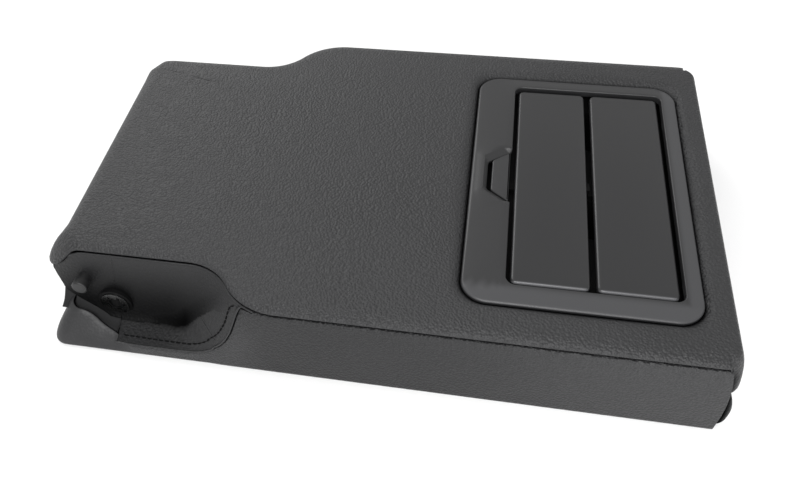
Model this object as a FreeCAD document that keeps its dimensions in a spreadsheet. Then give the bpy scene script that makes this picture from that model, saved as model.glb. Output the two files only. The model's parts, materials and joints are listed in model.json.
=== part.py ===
import FreeCAD, Part
import math
import os

import Sketcher

# Rear seat armrest: a leather-covered centre armrest with a lidded cup holder.
# The frame's origin is under the middle of the armrest, +X points to the cup-holder end, +Z is up,
# +Y is the left side. All sizes are millimetres.

os.makedirs("parts", exist_ok=True)
document = FreeCAD.newDocument("armrest")

# Driving sizes
SIZES = {
    "length": "368",
    "base_width": "240",
    "height": "54",
    "seam_height": "50",
    "base_height": "8",
    "deck_width": "235",
    "neck_width": "179",
    "neck_base_width": "204",
    "end_overhang": "6",
    "flare_start": "81",
    "flare_run": "56",
    "base_flare_start": "62",
    "base_flare_run": "42",
    "band_top_place": "121",
    "band_base_place": "96",
    "leather": "2",
    "cheek": "3",
    "base_corner": "12",
    "cap_front_corner": "18",
    "cap_rear_corner": "10",
    "cap_round": "3.5",
    "front_groove_height": "27",
    "front_groove_gap": "2",
    "groove_depth": "5",
    "nose_rise": "12",
    "lip_fall": "8",
    "rear_nose_height": "33",
    "rear_lip_height": "22",
    "rear_lip_reach": "36",
    "cover_floor": "3",
    "rim_thickness": "4",
    "carrier_floor": "3",
    "bezel_rear_place": "138.3",
    "bezel_length": "119.3",
    "bezel_width": "187.8",
    "bezel_thickness": "3.5",
    "bezel_corner": "14",
    "bezel_round": "1.5",
    "bezel_gap": "0.5",
    "opening_rear_rim": "22.3",
    "opening_length": "88.2",
    "opening_width": "164.4",
    "opening_corner": "5",
    "notch_depth": "15.6",
    "notch_narrow": "27",
    "notch_wide": "53.4",
    "button_gap": "4.6",
    "button_length": "9.6",
    "button_narrow": "28",
    "button_wide": "42",
    "button_thickness": "2.2",
    "button_drop": "1.2",
    "button_travel": "2.5",
    "stem_length": "6",
    "stem_width": "8",
    "guide_clearance": "0.3",
    "guide_wall": "1.7",
    "flap_length": "160",
    "flap_side_gap": "2.4",
    "flap_middle_gap": "3.4",
    "flap_thickness": "3",
    "flap_drop": "0.8",
    "flap_round": "1.2",
    "hinge_inset": "2.8",
    "hinge_depth": "4.6",
    "hinge_pin_radius": "1.5",
    "hinge_clearance": "0.05",
    "knuckle_radius": "2.6",
    "knuckle_place": "56",
    "knuckle_length": "8",
    "lug_gap": "0.5",
    "lug_width": "8",
    "coil_radius": "2.3",
    "coil_wire": "0.4",
    "coil_place": "70",
    "coil_length": "5",
    "coil_room": "0.5",
    "coil_leg": "12",
    "tray_inset": "5",
    "tray_wall": "2",
    "tray_flange_inset": "2",
    "tray_flange": "2",
    "pan_depth": "8.5",
    "well_radius": "36",
    "well_spacing": "81",
    "well_floor_height": "9",
    "mat_thickness": "2",
    "mat_clearance": "0.5",
    "pocket_clearance": "0.5",
    "boss_radius": "5",
    "boss_inset": "7.5",
    "boss_spacing": "132",
    "screw_radius": "1.9",
    "screw_head_radius": "4",
    "screw_head": "2.4",
    "tray_screw_length": "14",
    "thread_clearance": "0.05",
    "slider_width": "6",
    "slider_thickness": "3",
    "slider_clearance": "0.2",
    "ramp_clearance": "0.4",
    "striker_thickness": "2.5",
    "striker_depth": "3.8",
    "striker_width": "16",
    "striker_setback": "1.5",
    "hook_gap": "0.4",
    "hook_nose": "1.1",
    "hook_post": "2.2",
    "hook_height": "1.5",
    "hook_top_gap": "0.8",
    "latch_spring_length": "10.5",
    "latch_spring_radius": "1.2",
    "spring_stop": "3",
    "rail_length": "20",
    "button_spring_place": "10",
    "button_spring_radius": "2",
    "spring_wire": "0.35",
    "spring_seat": "0.1",
    "pivot_place": "36",
    "pivot_height": "20",
    "pivot_bore_radius": "4",
    "bush_radius": "7",
    "bush_depth": "14",
    "flange_radius": "10",
    "flange_thickness": "2.5",
    "bush_reach": "13.5",
    "bush_clearance": "0.05",
    "hole_clearance": "0.6",
    "washer_radius": "8.4",
    "washer_bore_radius": "4.5",
    "washer_thickness": "0.8",
    "washer_slot_depth": "2",
    "washer_slot_width": "1.6",
    "tube_radius": "8.6",
    "tube_bore_radius": "7.3",
    "bracket_clearance": "1.5",
    "bracket_thickness": "3",
    "bracket_rear_margin": "13",
    "bracket_length": "53",
    "bracket_height": "32",
    "foot_width": "27",
    "bracket_screw_inset": "7",
    "bracket_screw_length": "7.5",
    "stop_place": "18.5",
    "stop_height": "33",
    "stop_radius": "3.6",
    "stop_collar_radius": "5.5",
    "stop_collar": "3",
    "stop_cap_radius": "4.6",
    "stop_reach": "11",
    "stop_cap": "5",
    "stop_cap_round": "1",
    "hinge_bay_length": "79",
    "bracket_headroom": "2",
    "felt_thickness": "2",
    "felt_margin": "6",
}

sheet = document.addObject("Spreadsheet::Sheet", "Sizes")
for row, (alias, number) in enumerate(SIZES.items(), start=1):
    sheet.set("A%d" % row, alias)
    sheet.set("B%d" % row, number)
    sheet.setAlias("B%d" % row, alias)
document.recompute()


class Size:
    """A number together with the sheet expression it follows from."""

    def __init__(self, value, text):
        self.value = float(value)
        self.text = text

    def __add__(self, other):
        other = sized(other)
        return Size(self.value + other.value, "(%s + %s)" % (self.text, other.text))

    def __sub__(self, other):
        other = sized(other)
        return Size(self.value - other.value, "(%s - %s)" % (self.text, other.text))

    def __mul__(self, other):
        other = sized(other)
        return Size(self.value * other.value, "(%s * %s)" % (self.text, other.text))

    def __truediv__(self, other):
        other = sized(other)
        return Size(self.value / other.value, "(%s / %s)" % (self.text, other.text))

    def __radd__(self, other):
        return sized(other) + self

    def __rsub__(self, other):
        return sized(other) - self

    def __rmul__(self, other):
        return sized(other) * self

    def __neg__(self):
        return Size(-self.value, "(-1 * %s)" % self.text)


def sized(number):
    """Give a plain number the same form as a size from the sheet."""
    return number if isinstance(number, Size) else Size(number, repr(float(number)))


def cell(alias):
    """One size, read from the sheet and bound to its cell."""
    return Size(sheet.get(alias), "Sizes.%s" % alias)


class Cells:
    """The sheet's sizes by name."""

    def __getattr__(self, alias):
        return cell(alias)


s = Cells()
parts = []


def made(thing, label):
    """Name a finished sub-part and keep it for the export."""
    thing.Label = label
    parts.append(thing)
    return thing


def bind(thing, **formulas):
    """Bind properties of an object to sheet expressions."""
    for name, formula in formulas.items():
        thing.setExpression(name, sized(formula).text)


def place(thing, x, y, z):
    """Bind the three parts of an object's position."""
    for axis, formula in zip("xyz", (x, y, z)):
        thing.setExpression("Placement.Base." + axis, sized(formula).text)


def block(x, y, z):
    """A box between two planes along each axis."""
    box = document.addObject("Part::Box", "block")
    bind(box, Length=x[1] - x[0], Width=y[1] - y[0], Height=z[1] - z[0])
    place(box, x[0], y[0], z[0])
    return box


def both(half):
    """The span from minus half to plus half."""
    return (-sized(half), sized(half))


TURN = {
    "x": FreeCAD.Rotation(FreeCAD.Vector(0, 1, 0), 90),
    "y": FreeCAD.Rotation(FreeCAD.Vector(1, 0, 0), -90),
    "z": FreeCAD.Rotation(),
}


def rod(axis, radius, span, **centre):
    """A cylinder along an axis, between two places on it."""
    cylinder = document.addObject("Part::Cylinder", "rod")
    cylinder.Placement = FreeCAD.Placement(FreeCAD.Vector(), TURN[axis])
    bind(cylinder, Radius=radius, Height=span[1] - span[0])
    centre[axis] = span[0]
    place(cylinder, centre["x"], centre["y"], centre["z"])
    return cylinder


def fuse(*things):
    """Several solids as one."""
    whole = document.addObject("Part::MultiFuse", "whole")
    whole.Shapes = list(things)
    whole.Refine = True
    return whole


def cut(base, *tools):
    """A solid with others taken out of it."""
    for tool in tools:
        rest = document.addObject("Part::Cut", "rest")
        rest.Base = base
        rest.Tool = tool
        base = rest
    return base


def group(*things):
    """Separate solids that share a node."""
    together = document.addObject("Part::Compound", "together")
    together.Links = list(things)
    return together


def mirrored(thing, label):
    """The left twin of a piece of the right side."""
    twin = document.addObject("Part::Mirroring", "twin")
    twin.Source = thing
    twin.Normal = FreeCAD.Vector(0, 1, 0)
    return made(twin, label)


def rounded(thing, radius, chosen):
    """Round the edges that a test picks by their two end points."""
    document.recompute()
    picked = []
    for number, edge in enumerate(thing.Shape.Edges, start=1):
        if len(edge.Vertexes) == 2 and chosen(edge.Vertexes[0].Point, edge.Vertexes[1].Point):
            picked.append((number, radius.value, radius.value))
    fillet = document.addObject("Part::Fillet", "rounding")
    fillet.Base = thing
    fillet.Edges = picked
    return fillet


def upright(a, b):
    """Whether an edge runs straight up."""
    return abs(a.x - b.x) < 1e-6 and abs(a.y - b.y) < 1e-6


def at_level(level):
    """A test for the edges that lie in one level plane."""
    return lambda a, b: abs(a.z - level.value) < 1e-6 and abs(b.z - level.value) < 1e-6


def solid(shape, label):
    """A sub-part whose shape is worked out here from the sheet's sizes."""
    feature = document.addObject("Part::Feature", label)
    feature.Shape = shape
    return made(feature, label)


def body_plane(body, role):
    """One of a body's own origin planes."""
    return [plane for plane in body.Origin.OriginFeatures if plane.Role == role][0]


def polygon(body, role, corners, offset=None):
    """A closed sketch whose corners are each bound to two sheet expressions."""
    sketch = body.newObject("Sketcher::SketchObject", "outline")
    sketch.AttachmentSupport = [(body_plane(body, role), "")]
    sketch.MapMode = "FlatFace"
    if offset is not None:
        sketch.setExpression("AttachmentOffset.Base.z", offset.text)
    corners = [(sized(across), sized(up)) for across, up in corners]
    points = [FreeCAD.Vector(across.value, up.value, 0) for across, up in corners]
    count = len(points)
    for index in range(count):
        sketch.addGeometry(Part.LineSegment(points[index], points[(index + 1) % count]), False)
    for index in range(count):
        sketch.addConstraint(Sketcher.Constraint("Coincident", index, 2, (index + 1) % count, 1))
    for index, corner in enumerate(corners):
        for kind, formula in zip(("DistanceX", "DistanceY"), corner):
            number = sketch.addConstraint(Sketcher.Constraint(kind, -1, 1, index, 1, formula.value))
            sketch.setExpression("Constraints[%d]" % number, formula.text)
    return sketch


def pad(body, sketch, length, midplane=False):
    """Give a sketch of a body its thickness."""
    feature = body.newObject("PartDesign::Pad", "pad")
    feature.Profile = sketch
    feature.Midplane = midplane
    feature.setExpression("Length", sized(length).text)
    body.Tip = feature
    return feature


def wire_spring(path, along, wire_radius):
    """A wire lofted through eight-sided sections along a path that winds about an axis."""
    sections = []
    for index, point in enumerate(path):
        before = path[max(index - 1, 0)]
        after = path[min(index + 1, len(path) - 1)]
        ahead = (after - before).normalize()
        side = (along - ahead * along.dot(ahead)).normalize()
        up = ahead.cross(side)
        ring = []
        for corner in range(8):
            angle = math.pi * (corner + 0.5) / 4
            ring.append(point + side * (wire_radius.value * math.cos(angle))
                        + up * (wire_radius.value * math.sin(angle)))
        sections.append(Part.makePolygon(ring + ring[:1]))
    return Part.makeLoft(sections, True, True)


def coil_points(centre, along, start, radius, length, turns):
    """Points of a helix about an axis, starting in a given direction from it."""
    side = along.cross(start)
    points = []
    steps = int(turns * 12)
    for step in range(steps + 1):
        share = step / steps
        angle = 2 * math.pi * turns * share
        points.append(centre + start * (radius * math.cos(angle)) + side * (radius * math.sin(angle))
                      + along * (length * share))
    return points


# Places shared by several pieces
rear_end = -s.length / 2
front_end = s.length / 2
panel_rear = rear_end + s.end_overhang
panel_front = front_end - s.end_overhang
flare_from = rear_end + s.flare_start
flare_to = flare_from + s.flare_run
base_flare_from = rear_end + s.base_flare_start
base_flare_to = base_flare_from + s.base_flare_run
band_top = rear_end + s.band_top_place
band_base = rear_end + s.band_base_place
carrier_top = s.cover_floor + s.carrier_floor
foam_top = s.height - s.leather
bay_front = panel_rear + s.hinge_bay_length

bezel_rear = front_end - s.bezel_rear_place
bezel_front = bezel_rear + s.bezel_length
bezel_top = s.height
bezel_under = bezel_top - s.bezel_thickness
opening_rear = bezel_rear + s.opening_rear_rim
opening_front = opening_rear + s.opening_length
opening_middle = opening_rear + s.opening_length / 2
flap_top = bezel_top - s.flap_drop
flap_under = flap_top - s.flap_thickness
rear_flap_back = opening_rear + s.flap_side_gap
rear_flap_front = opening_middle - s.flap_middle_gap / 2
front_flap_back = opening_middle + s.flap_middle_gap / 2
front_flap_front = opening_front - s.flap_side_gap
rear_axis = rear_flap_back + s.hinge_inset
front_axis = front_flap_front - s.hinge_inset
hinge_height = flap_top - s.hinge_depth
bracket_top = s.base_height + s.bracket_height
bay_height = bracket_top + s.bracket_headroom
wall_lean = (s.neck_base_width - s.neck_width) / 2 / (s.seam_height - s.base_height)
wall_at_bracket = s.neck_base_width / 2 - wall_lean * s.bracket_height
bracket_face = wall_at_bracket - s.leather - s.cheek - s.bracket_clearance
bush_inner = bracket_face - s.bush_depth
bush_outer = bracket_face + s.bush_reach
stop_cap_start = bracket_face + s.stop_reach
pan_floor = bezel_under - s.pan_depth
pan_under = pan_floor - s.tray_wall
well_place = s.well_spacing / 2


def plan(level, rear, front, neck, deck, flare, rear_corner, front_corner):
    """Outline seen from above: a neck, an S-shaped flare of two equal arcs, and a wider deck."""
    rise = deck - neck
    run = flare[1] - flare[0]
    radius = (run * run + rise * rise) / (4 * rise)
    turn = math.asin(run / 2 / radius)
    out = radius * (1 - math.cos(turn / 2))
    ahead = radius * math.sin(turn / 2)
    half = [
        ("arc", (rear, neck - rear_corner), (rear + rear_corner * 0.29289, neck - rear_corner * 0.29289),
         (rear + rear_corner, neck)),
        ("line", (rear + rear_corner, neck), None, (flare[0], neck)),
        ("arc", (flare[0], neck), (flare[0] + ahead, neck + out), (flare[0] + run / 2, neck + rise / 2)),
        ("arc", (flare[0] + run / 2, neck + rise / 2), (flare[1] - ahead, deck - out), (flare[1], deck)),
        ("line", (flare[1], deck), None, (front - front_corner, deck)),
        ("arc", (front - front_corner, deck), (front - front_corner * 0.29289, deck - front_corner * 0.29289),
         (front, deck - front_corner)),
    ]
    edges = []

    def edge(kind, start, middle, end, side):
        points = [FreeCAD.Vector(p[0], side * p[1], level) for p in (start, middle, end) if p]
        edges.append(Part.Arc(*points).toShape() if kind == "arc" else Part.makeLine(*points))

    for kind, start, middle, end in half:
        edge(kind, start, middle, end, -1)
    edge("line", (front, -(deck - front_corner)), None, (front, deck - front_corner), 1)
    for kind, start, middle, end in reversed(half):
        edge(kind, end, middle, start, 1)
    edge("line", (rear, neck - rear_corner), None, (rear, -(neck - rear_corner)), 1)
    return Part.Wire(edges)


def upper_body(inset):
    """The upper body between ledge and seam, with its sides moved in by an inset."""
    low = plan(s.base_height.value, panel_rear.value, panel_front.value, s.neck_base_width.value / 2 - inset,
               s.base_width.value / 2 - inset, (base_flare_from.value, base_flare_to.value), 0.5, 0.5)
    high = plan(s.seam_height.value, panel_rear.value, panel_front.value, s.neck_width.value / 2 - inset,
                s.deck_width.value / 2 - inset, (flare_from.value, flare_to.value), 0.5, 0.5)
    return Part.makeLoft([low, high], True, True)


def cap_prism(inset, low, high):
    """The top's outline, moved in by an inset, between two heights."""
    wire = plan(low.value, rear_end.value + inset, front_end.value - inset, s.neck_width.value / 2 - inset,
                s.deck_width.value / 2 - inset, (flare_from.value, flare_to.value),
                s.cap_rear_corner.value - inset, s.cap_front_corner.value - inset)
    return Part.Face(wire).extrude(FreeCAD.Vector(0, 0, high.value - low.value))


def base_prism(inset, low, high):
    """The base's rounded rectangle, moved in by an inset, between two heights."""
    prism = slab((rear_end + inset, front_end - inset), both(s.base_width / 2 - inset), (low, high))
    edges = [edge for edge in prism.Edges if upright(edge.Vertexes[0].Point, edge.Vertexes[1].Point)]
    return prism.makeFillet(s.base_corner.value - inset.value, edges)


def slab(x, y, z):
    """A plain box shape between two planes along each axis."""
    low = FreeCAD.Vector(*(sized(span[0]).value for span in (x, y, z)))
    high = FreeCAD.Vector(*(sized(span[1]).value for span in (x, y, z)))
    return Part.makeBox(high.x - low.x, high.y - low.y, high.z - low.z, low)


def side_prism(corners, half_width):
    """A polygon in the XZ plane, carried across the part."""
    points = [FreeCAD.Vector(sized(x).value, -half_width.value, sized(z).value) for x, z in corners]
    face = Part.Face(Part.makePolygon(points + points[:1]))
    return face.extrude(FreeCAD.Vector(0, 2 * half_width.value, 0))


def undercut(end, way, low, inset):
    """The wedge below a nose, whose face leans in towards the groove under it."""
    return side_prism([(end + way, low + s.nose_rise + inset), (end - way * (s.groove_depth + inset), low - 1),
                       (end + way, low - 1)], half_span)


def bar(axis, radius, low, high, centre):
    """A plain cylinder shape along an axis."""
    return Part.makeCylinder(sized(radius).value, (high - low).value, centre, axis)


ACROSS = FreeCAD.Vector(0, 1, 0)
half_span = s.base_width
pivot_x = rear_end + s.pivot_place
stop_x = rear_end + s.stop_place
no_inset = sized(0)

outer = upper_body(0)
inner = upper_body(s.leather.value)
cheek_inner = upper_body(s.leather.value + s.cheek.value)
skin = outer.cut(inner)
right_half = slab((rear_end, front_end), (-half_span, sized(0)), (sized(0), s.height))
recess_zone = side_prism([(rear_end, s.base_height), (band_base, s.base_height), (band_top, s.seam_height),
                          (rear_end, s.seam_height)], half_span)
pivot_hole = bar(ACROSS, s.flange_radius + s.hole_clearance, -half_span, half_span,
                 FreeCAD.Vector(pivot_x.value, -half_span.value, s.pivot_height.value))
stop_hole = bar(ACROSS, s.stop_cap_radius + s.hole_clearance, -half_span, half_span,
                FreeCAD.Vector(stop_x.value, -half_span.value, s.stop_height.value))

# Side panels and recess linings
right_skin = skin.common(right_half)
side_right = solid(right_skin.cut(recess_zone), "side_cover_right")
mirrored(side_right, "side_cover_left")

low_inner = plan(carrier_top.value, panel_rear.value, panel_front.value,
                 s.neck_base_width.value / 2 - s.leather.value, s.base_width.value / 2 - s.leather.value,
                 (base_flare_from.value, base_flare_to.value), 0.5, 0.5)
inner_foot = Part.Face(low_inner).extrude(FreeCAD.Vector(0, 0, (s.base_height - carrier_top).value))
ledge = base_prism(s.rim_thickness, carrier_top, s.base_height).cut(inner_foot)
ledge = ledge.common(slab((panel_rear, band_base), (-half_span, sized(0)), (sized(0), s.height)))
lining = right_skin.common(recess_zone).fuse(ledge).cut(pivot_hole).cut(stop_hole).removeSplitter()
recess_right = solid(lining, "recess_cover_right")
mirrored(recess_right, "recess_cover_left")

# Top cover with its front and rear noses
below_seam = slab((panel_rear, panel_front), both(half_span), (sized(0), s.seam_height))
below_rear_nose = slab((rear_end, panel_rear), both(half_span), (sized(0), s.rear_nose_height))
cap = cap_prism(0, s.front_groove_height, s.height)
rim_edges = [edge for edge in cap.Edges if all(abs(v.Z - s.height.value) < 1e-6 for v in edge.Vertexes)]
cap = cap.makeFillet(s.cap_round.value, rim_edges).cut(below_seam).cut(below_rear_nose)
cap = cap.cut(undercut(front_end, 1, s.front_groove_height, no_inset))
cap = cap.cut(undercut(rear_end, -1, s.rear_nose_height, no_inset))
hollow = cap_prism(s.leather.value, s.front_groove_height + s.leather, foam_top)
hollow = hollow.cut(slab((rear_end, panel_rear), both(half_span), (sized(0), s.rear_nose_height + s.leather)))
hollow = hollow.cut(undercut(front_end, 1, s.front_groove_height, s.leather))
hollow = hollow.cut(undercut(rear_end, -1, s.rear_nose_height, s.leather))
bezel_cut = slab((bezel_rear - s.bezel_gap, bezel_front + s.bezel_gap), both(s.bezel_width / 2 + s.bezel_gap),
                 (bezel_under, s.height + 1))
cut_edges = [edge for edge in bezel_cut.Edges if upright(edge.Vertexes[0].Point, edge.Vertexes[1].Point)]
bezel_cut = bezel_cut.makeFillet((s.bezel_corner + s.bezel_gap).value, cut_edges)
top_cover = solid(cap.cut(hollow).cut(bezel_cut).removeSplitter(), "top_cover")

# Lower cover: a pan with a front lip and a rear lip that falls away along the sides
pan = base_prism(no_inset, sized(0), s.base_height)
under_edges = [edge for edge in pan.Edges if all(abs(v.Z) < 1e-6 for v in edge.Vertexes)]
pan = pan.makeFillet((s.cover_floor - 0.4).value, under_edges)
pan = pan.cut(base_prism(s.rim_thickness, s.cover_floor, s.base_height))
lip_zone = slab((panel_front, front_end), both(half_span), (s.base_height, s.height))
front_lip = base_prism(no_inset, s.base_height, s.front_groove_height - s.front_groove_gap).common(lip_zone)
lip_top = s.front_groove_height - s.front_groove_gap
front_lip = front_lip.cut(side_prism([(front_end + 1, lip_top - s.lip_fall), (front_end - s.groove_depth, lip_top + 1),
                                      (front_end + 1, lip_top + 1)], half_span))
front_foot = slab((panel_front, front_end - s.rim_thickness), both(s.base_width / 2 - s.base_corner),
                  (s.cover_floor, s.base_height))
rear_ring = base_prism(no_inset, s.base_height, s.rear_lip_height).cut(
    base_prism(s.rim_thickness, s.base_height, s.rear_lip_height))
rear_slope = side_prism([(rear_end, s.base_height), (rear_end, s.rear_lip_height), (panel_rear, s.rear_lip_height),
                         (rear_end + s.rear_lip_reach, s.base_height)], half_span)
bottom = pan.fuse([front_lip, front_foot, rear_ring.common(rear_slope)]).removeSplitter()
bottom_cover = solid(bottom, "bottom_cover")

# Carrier: a floor plate, side cheeks behind the recess linings and four posts for the tray
floor_plate = base_prism(s.rim_thickness, s.cover_floor, carrier_top).cut(front_foot)
cheek_zone = slab((panel_rear, bay_front), both(half_span), (s.base_height, bay_height))
cheek_shape = inner.cut(cheek_inner).common(cheek_zone).common(right_half).cut(pivot_hole).cut(stop_hole)
cheek_right = solid(cheek_shape, "carrier_cheek_right")
mirrored(cheek_right, "carrier_cheek_left")
raised_floor = inner_foot.common(base_prism(s.rim_thickness, carrier_top, s.base_height))
boss_rear = bezel_rear + s.boss_inset
boss_front = bezel_front - s.boss_inset - s.tray_inset
boss_side = s.boss_spacing / 2
boss_spots = [(boss_rear + s.tray_inset, -boss_side), (boss_rear + s.tray_inset, boss_side),
              (boss_front, -boss_side), (boss_front, boss_side)]
UP = FreeCAD.Vector(0, 0, 1)
posts = []
thread = s.screw_radius + s.thread_clearance
for spot_x, spot_y in boss_spots:
    post = rod("z", s.boss_radius, (s.base_height, pan_under), x=spot_x, y=spot_y)
    posts.append(cut(post, rod("z", thread, (pan_under - s.tray_screw_length, pan_under + 1),
                               x=spot_x, y=spot_y)))
made(group(*posts), "tray_posts")
foot_inner = bracket_face - s.bracket_thickness - s.foot_width
foot_middle = bracket_face - s.bracket_thickness - s.foot_width / 2
bracket_rear = rear_end + s.bracket_rear_margin
bracket_front = bracket_rear + s.bracket_length
bracket_screw_spots = []
for spot_x in (bracket_rear + s.bracket_screw_inset, bracket_front - s.bracket_screw_inset):
    for spot_y in (-foot_middle, foot_middle):
        bracket_screw_spots.append((spot_x, spot_y))
foot_top = s.base_height + s.bracket_thickness
screw_bores = []
for spot_x, spot_y in bracket_screw_spots:
    screw_bores.append(bar(UP, thread, foot_top - s.bracket_screw_length, s.base_height,
                           FreeCAD.Vector(spot_x.value, spot_y.value, (foot_top - s.bracket_screw_length).value)))
carrier_shape = floor_plate.fuse(raised_floor).cut(screw_bores)
carrier = solid(carrier_shape.removeSplitter(), "carrier")

# Foam core, open where the tray, the bezel and the hinge hardware sit
pocket_inset = s.tray_flange_inset - s.pocket_clearance
tray_pocket = slab((bezel_rear + pocket_inset, bezel_front - pocket_inset), both(s.bezel_width / 2 - pocket_inset),
                   (s.base_height, s.height))
hinge_bay = slab((rear_end, bay_front), both(half_span), (sized(0), bay_height))
nose_fill = hollow.cut(below_seam)
hinge_bay_low = hinge_bay.common(slab((panel_rear, bay_front), both(half_span), (sized(0), s.height)))
foam_shape = inner.fuse(nose_fill).cut(tray_pocket).cut(bezel_cut).cut(hinge_bay_low)
foam_core = solid(foam_shape.removeSplitter(), "foam_core")

# Felt that closes the hinge bay behind the rear gap
felt_half = s.neck_width / 2 - s.felt_margin
made(block((panel_rear, panel_rear + s.felt_thickness), both(felt_half), (s.base_height, bay_height)),
     "rear_felt")

# Hinge hardware of the right side, with its left twin
plate_span = (-bracket_face, -(bracket_face - s.bracket_thickness))
bracket = fuse(
    block((bracket_rear, bracket_front), plate_span, (s.base_height, bracket_top)),
    block((bracket_rear, bracket_front), (-bracket_face, -foot_inner), (s.base_height, foot_top)))
bracket = cut(
    bracket,
    rod("y", s.bush_radius + s.bush_clearance, (-bracket_face - 1, plate_span[1] + 1),
        x=pivot_x, z=s.pivot_height),
    rod("y", s.stop_radius + s.bush_clearance, (-bracket_face - 1, plate_span[1] + 1),
        x=stop_x, z=s.stop_height),
    *[rod("z", s.screw_radius + s.thread_clearance, (s.base_height - 1, foot_top + 1), x=spot_x, y=spot_y)
      for spot_x, spot_y in bracket_screw_spots if spot_y.value < 0])
made(bracket, "hinge_bracket_right")
mirrored(bracket, "hinge_bracket_left")

tube_half = bracket_face - s.bracket_thickness
tube = cut(rod("y", s.tube_radius, both(tube_half), x=pivot_x, z=s.pivot_height),
           rod("y", s.tube_bore_radius, both(tube_half + 1), x=pivot_x, z=s.pivot_height))
made(tube, "cross_tube")

bush = fuse(
    rod("y", s.bush_radius, (-bush_outer, -bush_inner), x=pivot_x, z=s.pivot_height),
    rod("y", s.flange_radius, (-bush_outer, -(bush_outer - s.flange_thickness)),
        x=pivot_x, z=s.pivot_height))
bush = cut(bush, rod("y", s.pivot_bore_radius, (-bush_outer - 1, -bush_inner + 1),
                     x=pivot_x, z=s.pivot_height))
made(bush, "pivot_bush_right")
mirrored(bush, "pivot_bush_left")

washer_span = (-(bush_outer + s.washer_thickness), -bush_outer)
slot_reach = s.washer_bore_radius + s.washer_slot_depth
slots = []
for turn in (0, 60, 120):
    slot = document.addObject("Part::Box", "slot")
    bind(slot, Length=2 * slot_reach, Width=s.washer_thickness + 2, Height=s.washer_slot_width)
    angle = math.radians(turn)
    slot.Placement = FreeCAD.Placement(FreeCAD.Vector(), FreeCAD.Rotation(FreeCAD.Vector(0, 1, 0), turn))
    drop = s.washer_slot_width / 2
    place(slot,
          pivot_x - slot_reach * math.cos(angle) - drop * math.sin(angle),
          washer_span[0] - 1,
          s.pivot_height + slot_reach * math.sin(angle) - drop * math.cos(angle))
    slots.append(slot)
washer = cut(rod("y", s.washer_radius, washer_span, x=pivot_x, z=s.pivot_height),
             rod("y", s.washer_bore_radius, (washer_span[0] - 1, washer_span[1] + 1),
                 x=pivot_x, z=s.pivot_height), *slots)
made(washer, "star_washer_right")
mirrored(washer, "star_washer_left")

cap_span = (-(stop_cap_start + s.stop_cap), -stop_cap_start)
cap_rod = rod("y", s.stop_cap_radius, cap_span, x=stop_x, z=s.stop_height)
document.recompute()
cap_rounding = document.addObject("Part::Fillet", "rounding")
cap_rounding.Base = cap_rod
cap_rounding.Edges = [
    (number, s.stop_cap_round.value, s.stop_cap_round.value)
    for number, edge in enumerate(cap_rod.Shape.Edges, start=1)
    if len(edge.Vertexes) == 1 and abs(edge.Vertexes[0].Y - cap_span[0].value) < 1e-6]
collar_end = bracket_face - s.bracket_thickness
stop_pin = fuse(
    cap_rounding,
    rod("y", s.stop_radius, (-stop_cap_start, -collar_end), x=stop_x, z=s.stop_height),
    rod("y", s.stop_collar_radius, (-collar_end, -(collar_end - s.stop_collar)), x=stop_x, z=s.stop_height))
made(stop_pin, "stop_pin_right")
mirrored(stop_pin, "stop_pin_left")


def screw(spot_x, spot_y, seat, length):
    """A pan-head screw whose head stands on a seat."""
    return fuse(rod("z", s.screw_head_radius, (seat, seat + s.screw_head), x=spot_x, y=spot_y),
                rod("z", s.screw_radius, (seat - length, seat), x=spot_x, y=spot_y))


made(group(*[screw(x, y, foot_top, s.bracket_screw_length - 0.5) for x, y in bracket_screw_spots]),
     "bracket_screws")
made(group(*[screw(x, y, pan_floor, s.tray_wall + s.tray_screw_length - 0.5) for x, y in boss_spots]),
     "tray_screws")

# Bezel
bezel = rounded(block((bezel_rear, bezel_front), both(s.bezel_width / 2), (bezel_under, bezel_top)),
                s.bezel_corner, upright)
bezel = rounded(bezel, s.bezel_round, at_level(bezel_top))
opening = rounded(block((opening_rear, opening_front), both(s.opening_width / 2), (bezel_under - 1, bezel_top + 1)),
                  s.opening_corner, upright)
notch_body = document.addObject("PartDesign::Body", "notch")
notch_rear = opening_rear - s.notch_depth
notch_sketch = polygon(notch_body, "XY_Plane", [
    (opening_rear + 1, -s.notch_wide / 2), (opening_rear + 1, s.notch_wide / 2),
    (opening_rear, s.notch_wide / 2), (notch_rear, s.notch_narrow / 2),
    (notch_rear, -s.notch_narrow / 2), (opening_rear, -s.notch_wide / 2)], bezel_under - 1)
pad(notch_body, notch_sketch, s.bezel_thickness + 2)
made(cut(bezel, opening, notch_body), "bezel")

# Cup tray: a shallow pan with two wells, hinge lugs, slider rails and button guides
tray_x = (bezel_rear + s.tray_inset, bezel_front - s.tray_inset)
tray_half = s.bezel_width / 2 - s.tray_inset
flange_x = (bezel_rear + s.tray_flange_inset, bezel_front - s.tray_flange_inset)
flange_half = s.bezel_width / 2 - s.tray_flange_inset
outside = fuse(
    block(tray_x, both(tray_half), (pan_under, bezel_under)),
    block(flange_x, both(flange_half), (bezel_under - s.tray_flange, bezel_under)),
    *[rod("z", s.well_radius + s.tray_wall, (s.well_floor_height, pan_floor), x=opening_middle, y=side * well_place)
      for side in (-1, 1)])
tray = cut(
    outside,
    block((tray_x[0] + s.tray_wall, tray_x[1] - s.tray_wall), both(tray_half - s.tray_wall),
          (pan_floor, bezel_under + 1)),
    *[rod("z", s.well_radius, (s.well_floor_height + s.tray_wall, pan_floor + 1),
          x=opening_middle, y=side * well_place) for side in (-1, 1)])
lug_start = s.flap_length / 2 + s.lug_gap
lugs = []
for axis_x in (rear_axis, front_axis):
    for span in ((lug_start, tray_half), (-tray_half, -lug_start)):
        lugs.append(block((axis_x - s.lug_width / 2, axis_x + s.lug_width / 2), span, (pan_floor, bezel_under)))
slider_half = s.slider_width / 2
rail_inner = slider_half + s.guide_clearance
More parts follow.
